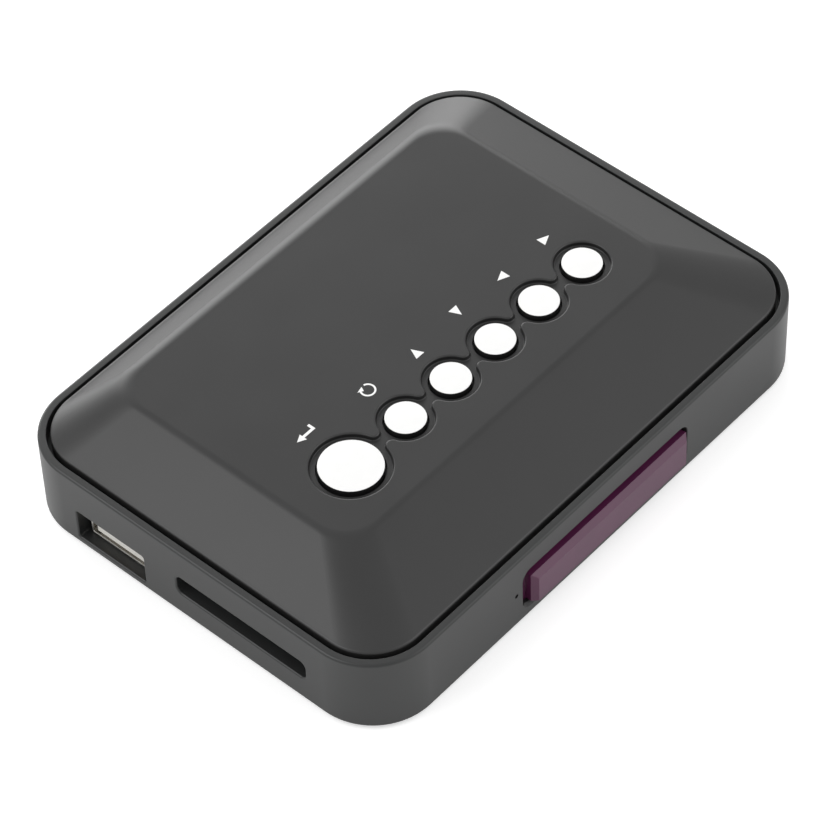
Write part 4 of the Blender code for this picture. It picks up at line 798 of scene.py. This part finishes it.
def key_cap(key, place):
    """One cap, its printed top in a second finish."""
    x, radius = place
    flange_top = UNDERSIDE - SEAT_GAP
    flange_bottom = flange_top - KEY_FLANGE_THICKNESS
    stem_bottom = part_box("key_" + key)[0].z - LIFT.z
    profile = [
        (KEY_STEM, stem_bottom),
        (KEY_STEM, flange_bottom),
        (radius + KEY_FLANGE, flange_bottom),
        (radius + KEY_FLANGE, flange_top),
        (radius, flange_top),
    ]
    profile += [(radius - inset, KEY_TOP - KEY_DOME - drop) for inset, drop in quarter_round(KEY_EDGE)]
    print_radius = radius - KEY_EDGE - PRINT_MARGIN
    for step in range(FILLET_STEPS):
        share = 1 - step / FILLET_STEPS
        profile.append((print_radius * share, KEY_TOP - KEY_DOME * share ** 2))
    bm = bmesh.new()
    turned(bm, profile, (x, KEY_ROW))
    cap = new_object("cap_" + key, bm)
    cap.data.materials.append(ABS_KEY)
    cap.data.materials.append(INK_WHITE)
    for face in cap.data.polygons:
        if face.center.z - LIFT.z > KEY_TOP - KEY_DOME - KEY_EDGE / 2:
            face.material_index = 1
    dress(cap, None, ["key_" + key], key + "_key")


for key, place in zip(KEYS, KEY_CIRCLES):
    key_cap(key, place)

# %% [markdown]
# ## Printed marks
# Behind each key a small white mark says what it does: a return arrow, a loop, and triangles for
# the four directions. They are ink, a few hundredths of a millimetre thick, so each is a thin
# flat solid that stands on the plateau.

# %% Mark outlines
INK_THICKNESS = 0.03 * MM
INK_SINK = 0.02 * MM
TRIANGLE_WIDTH = 1.9 * MM
TRIANGLE_HEIGHT = 2.1 * MM
ARROW_LENGTH = 4.1 * MM
ARROW_HEAD = 1.5 * MM
ARROW_HEAD_WIDTH = 1.55 * MM
ARROW_STROKE = 0.5 * MM
ARROW_LEG = 1.15 * MM
LOOP_RADIUS = 1.22 * MM
LOOP_STROKE = 0.33 * MM
LOOP_HEAD = 1.1 * MM
LOOP_START = math.radians(75)
LOOP_SWEEP = math.radians(-285)
LOOP_STEPS = 40


def return_arrow():
    """An arrow towards -X whose tail turns up towards +Y."""
    half = ARROW_STROKE / 2
    tip, neck, end = -ARROW_LENGTH / 2, -ARROW_LENGTH / 2 + ARROW_HEAD, ARROW_LENGTH / 2
    return [
        (tip, 0), (neck, -ARROW_HEAD_WIDTH / 2), (neck, -half), (end, -half),
        (end, ARROW_LEG), (end - ARROW_STROKE, ARROW_LEG), (end - ARROW_STROKE, half),
        (neck, half), (neck, ARROW_HEAD_WIDTH / 2),
    ]


def loop_arrow():
    """An open ring with an arrow head at its end."""
    angles = [LOOP_START + LOOP_SWEEP * step / LOOP_STEPS for step in range(LOOP_STEPS + 1)]
    last = angles[-1]
    outer, inner = LOOP_RADIUS + LOOP_STROKE / 2, LOOP_RADIUS - LOOP_STROKE / 2
    points = [(outer * math.cos(angle), outer * math.sin(angle)) for angle in angles]
    for radius, turn in ((LOOP_RADIUS + LOOP_HEAD / 2, 0), (LOOP_RADIUS, -LOOP_HEAD / LOOP_RADIUS),
                         (LOOP_RADIUS - LOOP_HEAD / 2, 0)):
        points.append((radius * math.cos(last + turn), radius * math.sin(last + turn)))
    points += [(inner * math.cos(angle), inner * math.sin(angle)) for angle in reversed(angles)]
    return points


def triangle(turn):
    """A triangle that points along an angle."""
    corners = ((TRIANGLE_HEIGHT / 2, 0), (-TRIANGLE_HEIGHT / 2, TRIANGLE_WIDTH / 2),
               (-TRIANGLE_HEIGHT / 2, -TRIANGLE_WIDTH / 2))
    cos, sin = math.cos(turn), math.sin(turn)
    return [(x * cos - y * sin, x * sin + y * cos) for x, y in corners]


# %% Marks on the plateau
MARK_PLACES = {
    "return": (-27.3 * MM, -0.4 * MM), "loop": (-13.8 * MM, -1.65 * MM),
    "up": (-2.8 * MM, -2.2 * MM), "down": (8.3 * MM, -1.5 * MM),
    "left": (18.8 * MM, -2.1 * MM), "right": (30.0 * MM, -2.0 * MM),
}
MARKS = {
    "return": return_arrow(),
    "loop": loop_arrow(),
    "up": triangle(math.radians(90)),
    "down": triangle(math.radians(-90)),
    "left": triangle(math.radians(180)),
    "right": triangle(0),
}
for key, outline in MARKS.items():
    x, y = MARK_PLACES[key]
    placed = [(x + across, y + along) for across, along in outline]
    bm = bmesh.new()
    skin(bm, [lying(placed, PLATEAU_HEIGHT - INK_SINK), lying(placed, PLATEAU_HEIGHT + INK_THICKNESS)])
    dress(new_object("mark_" + key, bm), INK_WHITE)

# %% [markdown]
# ## The window
# The window is one acrylic moulding: a flange behind the wall, a plug in the depth of the
# opening, and a block with bevelled top and ends that stands proud. The deep border round the
# block stays in shadow. Its edges are polished round by about a tenth of a millimetre, which is
# enough to draw a fine line.

# %% Window
WINDOW_GAP = 0.15 * MM
WINDOW_RECESS = 1.2 * MM
WINDOW_BORDER = 1.7 * MM
# The block isn't centred: its right end reaches nearly to the opening's edge.
WINDOW_SHIFT = 1.5 * MM
WINDOW_BEVEL = -HALF_WIDTH - WINDOW_LOW.y
WINDOW_EDGE = 0.12 * MM
WINDOW_EDGE_STEPS = 3


def window_block(inset):
    """Outline of the proud block: bevelled at its top and ends, straight at its bottom."""
    border = WINDOW_GAP + WINDOW_BORDER
    low = (-WINDOW_HALF + border + inset, WINDOW_BOTTOM + 2 * WINDOW_GAP)
    high = (WINDOW_HALF - border - inset + WINDOW_SHIFT, WINDOW_TOP - border - inset)
    return rounded(low, high, WINDOW_GAP, SMALL_CORNER_STEPS)


def window_piece():
    """The window, from its flange to its proud face."""
    face = -HALF_WIDTH
    flange_front = -WALL_INSIDE + SEAT_GAP
    flange = window_outline(WINDOW_FLANGE_REACH, WINDOW_BOTTOM - CASE_FLOOR - SEAT_GAP)
    plug = window_outline(-WINDOW_GAP, -WINDOW_GAP)
    bm = bmesh.new()
    skin(bm, [
        facing_y(flange, flange_front + WINDOW_FLANGE_THICKNESS),
        facing_y(flange, flange_front),
        facing_y(plug, flange_front),
        facing_y(plug, face + WINDOW_RECESS),
        facing_y(window_block(0), face + WINDOW_RECESS),
        facing_y(window_block(0), face),
        facing_y(window_block(WINDOW_BEVEL), face - WINDOW_BEVEL),
    ])
    piece = new_object("window_moulding", bm)
    bevel = piece.modifiers.new("polished edges", "BEVEL")
    bevel.width = WINDOW_EDGE
    bevel.segments = WINDOW_EDGE_STEPS
    bevel.limit_method = "ANGLE"
    bevel.angle_limit = SMOOTH_ANGLE
    bevel.use_clamp_overlap = True
    return piece


dress(window_piece(), ACRYLIC, ["ir_window"])

# %% [markdown]
# ## Sockets in the short wall
# The USB socket is a steel sleeve round an ivory tongue with four gold contacts. From the
# camera its tongue is the bright line in the dark opening. The card socket behind the slot
# keeps its modelled shape and only gets its finish.

# %% USB socket
SLEEVE_WALL = 0.35 * MM
SLEEVE_CORNER = 0.6 * MM
SLEEVE_LIP = 0.1 * MM
TONGUE_LOW, TONGUE_HIGH = [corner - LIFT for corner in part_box("usb_tongue")]
TONGUE_HALF = 5.4 * MM
TONGUE_OFFSET = 0.45 * MM
TONGUE_TOP = (USB_LOW.z + USB_HIGH.z) / 2 - TONGUE_OFFSET
TONGUE_THICKNESS = 1.5 * MM
TONGUE_EDGE = 0.2 * MM
BLOCK_LENGTH = 3.0 * MM
CONTACT_WIDTH = 1.3 * MM
CONTACT_HEIGHT = 0.12 * MM
CONTACT_PITCH = 2.4 * MM
USB_CONTACTS = 4


def usb_sleeve():
    """The drawn steel sleeve, its mouth rolled by a tenth of a millimetre."""
    rings = []
    for inset, x in ((0, USB_HIGH.x), (0, USB_LOW.x + SLEEVE_LIP), (SLEEVE_LIP, USB_LOW.x)):
        low = (USB_LOW.y + inset, USB_LOW.z + inset)
        high = (USB_HIGH.y - inset, USB_HIGH.z - inset)
        rings.append(facing_x(rounded(low, high, SLEEVE_CORNER - inset, SMALL_CORNER_STEPS), x))
    for x in (USB_LOW.x + SLEEVE_LIP, USB_HIGH.x):
        low = (USB_LOW.y + SLEEVE_WALL, USB_LOW.z + SLEEVE_WALL)
        high = (USB_HIGH.y - SLEEVE_WALL, USB_HIGH.z - SLEEVE_WALL)
        rings.append(facing_x(rounded(low, high, SLEEVE_CORNER - SLEEVE_WALL, SMALL_CORNER_STEPS), x))
    bm = bmesh.new()
    skin(bm, rings, close=True)
    return new_object("usb_sleeve", bm)


def usb_insert():
    """The ivory block and the tongue that stands out of it."""
    middle_y = (USB_LOW.y + USB_HIGH.y) / 2
    bottom = TONGUE_TOP - TONGUE_THICKNESS
    root = TONGUE_HIGH.x - BLOCK_LENGTH
    edge = TONGUE_EDGE
    rings = []
    for x in (TONGUE_HIGH.x, root):
        low = (USB_LOW.y + SLEEVE_WALL + SEAT_GAP, USB_LOW.z + SLEEVE_WALL + SEAT_GAP)
        high = (USB_HIGH.y - SLEEVE_WALL - SEAT_GAP, USB_HIGH.z - SLEEVE_WALL - SEAT_GAP)
        rings.append(facing_x(rounded(low, high, edge, SMALL_CORNER_STEPS), x))
    for inset, x in ((0, root), (0, TONGUE_LOW.x + edge), (edge / 2, TONGUE_LOW.x)):
        low = (middle_y - TONGUE_HALF + inset, bottom + inset)
        high = (middle_y + TONGUE_HALF - inset, TONGUE_TOP - inset)
        rings.append(facing_x(rounded(low, high, edge, SMALL_CORNER_STEPS), x))
    bm = bmesh.new()
    skin(bm, rings)
    return new_object("usb_insert", bm)


def usb_contacts():
    """Four gold strips along the top of the tongue."""
    middle_y = (USB_LOW.y + USB_HIGH.y) / 2
    bm = bmesh.new()
    for index in range(USB_CONTACTS):
        y = middle_y + (index - (USB_CONTACTS - 1) / 2) * CONTACT_PITCH
        low = (TONGUE_LOW.x, y - CONTACT_WIDTH / 2, TONGUE_TOP - CONTACT_HEIGHT)
        high = (TONGUE_HIGH.x - BLOCK_LENGTH, y + CONTACT_WIDTH / 2, TONGUE_TOP + CONTACT_HEIGHT)
        block(bm, low, high)
    return new_object("usb_contacts", bm)


dress(usb_sleeve(), STEEL_PLATED, ["usb_shell"])
dress(usb_insert(), NYLON_IVORY, ["usb_tongue"])
dress(usb_contacts(), GOLD)

# %% [markdown]
# ## Sockets in the back wall
# The back shows an HDMI socket, a round jack for sound and picture, and a power inlet with a
# centre pin. They are drawn as rings too, with the fine rounds of moulded collars.

# %% HDMI socket
HDMI_WALL = 0.35 * MM
HDMI_TONGUE_HALF = 5.25 * MM
HDMI_TONGUE_THICKNESS = 1.1 * MM
HDMI_BLOCK_LENGTH = 2.5 * MM
HDMI_TONGUE_LENGTH = 6.5 * MM
HDMI_CONTACTS = 10
HDMI_CONTACT_PITCH = 1.0 * MM
HDMI_CONTACT_WIDTH = 0.4 * MM
HDMI_MIDDLE = centre_of(HDMI_LOW, HDMI_HIGH)


def hdmi_sleeve():
    """The folded steel sleeve."""
    rings = [facing_y(hdmi_outline(0), HDMI_LOW.y), facing_y(hdmi_outline(0), SOCKET_FACE - SLEEVE_LIP)]
    rings.append(facing_y(hdmi_outline(-SLEEVE_LIP), SOCKET_FACE))
    rings.append(facing_y(hdmi_outline(-HDMI_WALL), SOCKET_FACE - SLEEVE_LIP))
    rings.append(facing_y(hdmi_outline(-HDMI_WALL), HDMI_LOW.y))
    bm = bmesh.new()
    skin(bm, rings, close=True)
    return new_object("hdmi_sleeve", bm)


def hdmi_insert():
    """The black block and its tongue."""
    root = HDMI_LOW.y + HDMI_BLOCK_LENGTH
    tip = root + HDMI_TONGUE_LENGTH
    x, z = HDMI_MIDDLE
    half, thick = HDMI_TONGUE_HALF, HDMI_TONGUE_THICKNESS / 2
    tongue = [(x - half, z - thick), (x + half, z - thick), (x + half, z), (x + half, z + thick),
              (x - half, z + thick), (x - half, z)]
    back = hdmi_outline(-HDMI_WALL - SEAT_GAP)
    bm = bmesh.new()
    rings = [facing_y(back, y) for y in (HDMI_LOW.y, root)]
    rings += [facing_y(tongue, y) for y in (root, tip)]
    skin(bm, rings)
    return new_object("hdmi_insert", bm)


def hdmi_contacts():
    """Ten gold strips on top of the tongue."""
    x, z = HDMI_MIDDLE
    top = z + HDMI_TONGUE_THICKNESS / 2
    root = HDMI_LOW.y + HDMI_BLOCK_LENGTH
    bm = bmesh.new()
    for index in range(HDMI_CONTACTS):
        left = x + (index - (HDMI_CONTACTS - 1) / 2) * HDMI_CONTACT_PITCH - HDMI_CONTACT_WIDTH / 2
        low = (left, root, top - CONTACT_HEIGHT / 2)
        high = (left + HDMI_CONTACT_WIDTH, root + HDMI_TONGUE_LENGTH - SEAT_GAP, top + CONTACT_HEIGHT / 2)
        block(bm, low, high)
    return new_object("hdmi_contacts", bm)


dress(hdmi_sleeve(), STEEL_PLATED, ["hdmi_shell"])
dress(hdmi_insert(), NYLON_BLACK, ["hdmi_tongue"])
dress(hdmi_contacts(), GOLD)

# %% Round jacks
JACK_EDGE = 0.25 * MM
AV_BORE = 1.8 * MM
AV_BORE_DEPTH = 12.5 * MM
DC_BORE = 2.6 * MM
DC_BORE_DEPTH = 10.5 * MM
PIN_RADIUS = 0.85 * MM
PIN_TIP = 0.68 * MM
JACK_BODY_CORNER = 0.4 * MM
JACK_CORNER_STEPS = 8


def jack(name, low, high, collar, bore, depth):
    """A moulded block with a round collar through the wall and a blind bore."""
    middle = centre_of(low, high)
    shoulder = WALL_INSIDE - SEAT_GAP
    body = rounded((low.x, low.z), (high.x, high.z), JACK_BODY_CORNER, JACK_CORNER_STEPS)

    def ring(radius, y):
        box_low = (middle[0] - radius, middle[1] - radius)
        box_high = (middle[0] + radius, middle[1] + radius)
        return facing_y(rounded(box_low, box_high, radius, JACK_CORNER_STEPS), y)

    rings = [facing_y(body, low.y), facing_y(body, shoulder), ring(collar, shoulder)]
    rings += [ring(collar - inset, SOCKET_FACE - drop) for inset, drop in quarter_round(JACK_EDGE)]
    rings += [ring(bore + inset, SOCKET_FACE - drop) for inset, drop in reversed(quarter_round(JACK_EDGE))]
    rings.append(ring(bore, SOCKET_FACE - depth))
    bm = bmesh.new()
    skin(bm, rings)
    return new_object(name, bm)


def inlet_pin():
    """The power inlet's centre pin, with a rounded tip."""
    low, high = [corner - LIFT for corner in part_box("dc_inlet_pin")]
    profile = [(PIN_RADIUS, low.y)]
    profile += [(PIN_RADIUS - inset, high.y - drop) for inset, drop in quarter_round(PIN_TIP)]
    bm = bmesh.new()
    turned_flat(bm, profile, centre_of(low, high))
    return new_object("inlet_pin", bm)


av_socket = jack("av_socket", AV_LOW, AV_HIGH, AV_COLLAR, AV_BORE, AV_BORE_DEPTH)
dc_socket = jack("dc_socket", DC_LOW, DC_HIGH, DC_COLLAR, DC_BORE, DC_BORE_DEPTH)
dress(av_socket, NYLON_BLACK, ["av_jack"])
dress(dc_socket, NYLON_BLACK, ["dc_inlet"])
dress(inlet_pin(), STEEL_PLATED, ["dc_inlet_pin"])

# %% [markdown]
# ## Feet and screws
# Seen from below, the rubber feet and the cross-recessed screw heads are what a hand meets. Each
# screw's recess is two crossed slots that get narrower as they go in.

# %% Feet
FOOT_EDGE = 0.2 * MM


def foot_pad(node):
    """One foot, with a rounded lower edge."""
    low, high = [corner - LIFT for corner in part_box(node)]
    profile = [(FOOT_RADIUS - inset, low.z + drop) for inset, drop in reversed(quarter_round(FOOT_EDGE))]
    bm = bmesh.new()
    turned(bm, profile + [(FOOT_RADIUS, high.z)], plan_middle(node))
    return new_object(node.replace("foot", "foot_pad"), bm)


for node in FEET:
    dress(foot_pad(node), RUBBER, [node])

# %% Case screws
SCREW_HEAD = 2.4 * MM
SCREW_HEAD_HEIGHT = 1.6 * MM
SCREW_SHANK = 1.2 * MM
SCREW_SLOT_LENGTH = 1.4 * MM
SCREW_SLOT_WIDTH = 0.4 * MM
SCREW_SLOT_DEPTH = 0.9 * MM


def case_screw(node):
    """A pan-head screw that points up, with a cross recess in its head."""
    x, y = plan_middle(node)
    low, high = [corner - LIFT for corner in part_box(node)]
    seat = low.z + SCREW_HEAD_HEIGHT
    edge = reversed(quarter_round(SCREW_HEAD_HEIGHT / 2))
    head = [(SCREW_HEAD - inset, low.z + drop) for inset, drop in edge]
    shank = [
        (SCREW_HEAD, seat), (SCREW_SHANK, seat),
        (SCREW_SHANK, high.z - SCREW_SHANK), (SCREW_SHANK / 2, high.z),
    ]
    bm = bmesh.new()
    turned(bm, head + shank, (x, y))
    screw = new_object(node.replace("case_screw", "screw"), bm)
    for length, width in ((SCREW_SLOT_LENGTH, SCREW_SLOT_WIDTH), (SCREW_SLOT_WIDTH, SCREW_SLOT_LENGTH)):
        mouth = [
            (x - length, y - width), (x + length, y - width),
            (x + length, y + width), (x - length, y + width),
        ]
        foot = [((px + x) / 2, (py + y) / 2) for px, py in mouth]
        bm = bmesh.new()
        rings = [lying(mouth, z) for z in (low.z - OVERRUN, low.z)]
        skin(bm, rings + [lying(foot, low.z + SCREW_SLOT_DEPTH)])
        combine(screw, bm)
    return screw


for node in CASE_SCREWS:
    dress(case_screw(node), STEEL_ZINC, [node])

# %% [markdown]
# ## Finishes of the inner parts
# The boards and what stands on them keep their modelled shape. Each gets the finish of the
# real part in place of its plain colour.

# %% Inner parts
INNER_FINISHES = {
    "key_board": SOLDER_MASK, "main_board": SOLDER_MASK, "card_socket_base": NYLON_BLACK,
    "card_socket_shell": STEEL_PLATED, "main_chip": EPOXY_BLACK, "memory_chip": EPOXY_BLACK,
    "flash_chip": EPOXY_BLACK, "heat_sink": ALUMINIUM, "crystal": STEEL_PLATED,
    "power_coil": FERRITE, "capacitor_1": SLEEVE, "capacitor_2": SLEEVE, "ir_receiver": NYLON_BLACK,
    "indicator_lamp": RESIN_RED, "key_cable_socket": NYLON_IVORY, "main_cable_socket": NYLON_IVORY,
    "key_cable": FILM, "board_screw_1": STEEL_ZINC, "board_screw_2": STEEL_ZINC,
    "key_board_screw_1": STEEL_ZINC, "key_board_screw_2": STEEL_ZINC,
}
for number in range(1, len(KEYS) + 1):
    INNER_FINISHES["tact_switch_%d" % number] = NYLON_BLACK
    INNER_FINISHES["switch_plunger_%d" % number] = NYLON_IVORY
for node, finish in INNER_FINISHES.items():
    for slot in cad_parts[node].material_slots:
        slot.material = finish
print(len(INNER_FINISHES), "inner nodes have their finish")

# %% [markdown]
# ## Floor and light
# The picture was taken on a white sweep under big soft lamps. The floor scatters light as white
# card does. A little glow is added for the camera and for reflections only, so that the paper
# looks white and the gloss mirrors white paper, while the player still throws its soft shadow.

# %% Floor
FLOOR_HALF = 3.0
FLOOR_GAP = 0.02 * MM
FLOOR_LEVEL = CAD_BOX[0][2] - FLOOR_GAP
MOTTLE_SCALE = 4
SEEN_GLOW = 0.5
MIRRORED_GLOW = 0.2


def floor_finish():
    """White card with a faint mottle, and a glow that only camera and mirror rays see."""
    material = bpy.data.materials.new("card white")
    material.use_nodes = True
    tree = material.node_tree
    tree.nodes.clear()
    place = add_node(tree, "ShaderNodeTexCoord")
    spots = {"Vector": place.outputs["Object"], "Scale": MOTTLE_SCALE}
    mottle = add_node(tree, "ShaderNodeTexNoise", spots)
    tint = add_node(tree, "ShaderNodeMixRGB", {
        "Fac": mottle.outputs["Fac"], "Color1": linear("#e6e6e6"), "Color2": linear("#e9e9e9"),
    })
    card = add_node(tree, "ShaderNodeBsdfDiffuse", {"Color": tint.outputs["Color"]})
    rays = add_node(tree, "ShaderNodeLightPath")
    mirrored = add_node(tree, "ShaderNodeMath", {
        0: rays.outputs["Is Glossy Ray"], 1: rays.outputs["Is Transmission Ray"]}, operation="ADD")
    seen = add_node(tree, "ShaderNodeMath", {
        0: rays.outputs["Is Camera Ray"], 1: SEEN_GLOW}, operation="MULTIPLY")
    glow = add_node(tree, "ShaderNodeMath", {
        0: mirrored.outputs["Value"], 1: MIRRORED_GLOW, 2: seen.outputs["Value"]}, operation="MULTIPLY_ADD")
    shine = add_node(tree, "ShaderNodeEmission", {"Strength": glow.outputs["Value"]})
    both = add_node(tree, "ShaderNodeAddShader", {0: card.outputs["BSDF"], 1: shine.outputs["Emission"]})
    add_node(tree, "ShaderNodeOutputMaterial", {"Surface": both.outputs["Shader"]})
    return material


bm = bmesh.new()
corners = [
    (-FLOOR_HALF, -FLOOR_HALF), (FLOOR_HALF, -FLOOR_HALF),
    (FLOOR_HALF, FLOOR_HALF), (-FLOOR_HALF, FLOOR_HALF),
]
bm.faces.new([bm.verts.new(point) for point in lying(corners, FLOOR_LEVEL)])
mesh = bpy.data.meshes.new("floor")
bm.to_mesh(mesh)
bm.free()
floor = bpy.data.objects.new("floor", mesh)
bpy.context.scene.collection.objects.link(floor)
mesh.materials.append(floor_finish())

# %% [markdown]
# A lamp here is a softbox: an area light whose brightness is given as it looks in a mirror, with
# 1 for white paper in plain light. The whole room glows a little below that, and three softboxes
# give the slopes and the window's bevel their different greys: one high on the left, one low
# behind the player and one in front on the right.

# %% Room and softboxes
ROOM_LEVEL = 0.82
PAPER_WHITE = 1.0
TARGET = LIFT + Vector((0, 0, RIM_HEIGHT))


def room():
    """An even white room, at full white where the camera sees it."""
    world = bpy.data.worlds.new("room")
    bpy.context.scene.world = world
    world.use_nodes = True
    tree = world.node_tree
    tree.nodes.clear()
    rays = add_node(tree, "ShaderNodeLightPath")
    level = add_node(tree, "ShaderNodeMapRange", {
        "Value": rays.outputs["Is Camera Ray"], "To Min": ROOM_LEVEL, "To Max": PAPER_WHITE})
    glow = add_node(tree, "ShaderNodeBackground", {"Strength": level.outputs["Result"]})
    add_node(tree, "ShaderNodeOutputWorld", {"Surface": glow.outputs["Background"]})


def softbox(name, direction, distance, size, brightness):
    """A square lamp in a direction from the player, turned towards it."""
    lamp = bpy.data.lights.new(name, "AREA")
    lamp.shape = "SQUARE"
    lamp.size = size
    lamp.energy = brightness * math.pi * size ** 2
    holder = bpy.data.objects.new(name, lamp)
    bpy.context.scene.collection.objects.link(holder)
    towards = Vector(direction).normalized()
    holder.location = TARGET + towards * distance
    holder.rotation_euler = towards.to_track_quat("Z", "Y").to_euler()


room()
SOFTBOXES = {
    "softbox_high_left": {
        "direction": (-0.55, 0.38, 0.74), "distance": 1.0, "size": 0.7, "brightness": 2.1},
    "softbox_low_behind": {
        "direction": (0.52, 0.83, 0.18), "distance": 1.3, "size": 1.2, "brightness": 2.8},
    "softbox_front_right": {
        "direction": (0.47, -0.6, 0.66), "distance": 1.0, "size": 0.8, "brightness": 1.2},
}
for name, settings in SOFTBOXES.items():
    softbox(name, **settings)

# %% [markdown]
# ## Camera
# The photograph was taken from far away with a long lens, from the left front and well above.
# The camera's place is worked out from its azimuth, elevation and small roll, and the focal
# length is given in pixels of the square picture.

# %% Camera
IMAGE_PIXELS = 830
FOCAL_PIXELS = 4082.12
SENSOR_MM = 36
AZIMUTH, ELEVATION, ROLL = (math.radians(degrees) for degrees in (-47.027, 48.997, 2.292))
CAMERA_OFFSET = Vector((-0.834 * MM, 1.213 * MM, 679.85 * MM))


def photo_camera():
    """The camera of the photograph."""
    back = Vector((
        math.sin(AZIMUTH) * math.cos(ELEVATION),
        -math.cos(AZIMUTH) * math.cos(ELEVATION),
        math.sin(ELEVATION),
    ))
    right = Vector((math.cos(AZIMUTH), math.sin(AZIMUTH), 0))
    up = back.cross(right)
    across = right * math.cos(ROLL) - up * math.sin(ROLL)
    upright = right * math.sin(ROLL) + up * math.cos(ROLL)
    turn = Matrix((across, upright, back)).transposed()
    lens = bpy.data.cameras.new("camera")
    lens.sensor_width = SENSOR_MM
    lens.lens = FOCAL_PIXELS / IMAGE_PIXELS * SENSOR_MM
    lens.clip_start = 10 * MM
    camera = bpy.data.objects.new("camera", lens)
    bpy.context.scene.collection.objects.link(camera)
    placed = turn.to_4x4()
    placed.translation = turn @ CAMERA_OFFSET + LIFT
    camera.matrix_world = placed
    bpy.context.scene.camera = camera
    print("focal length %.0f mm" % lens.lens)


photo_camera()
bpy.context.scene.view_settings.view_transform = "Standard"
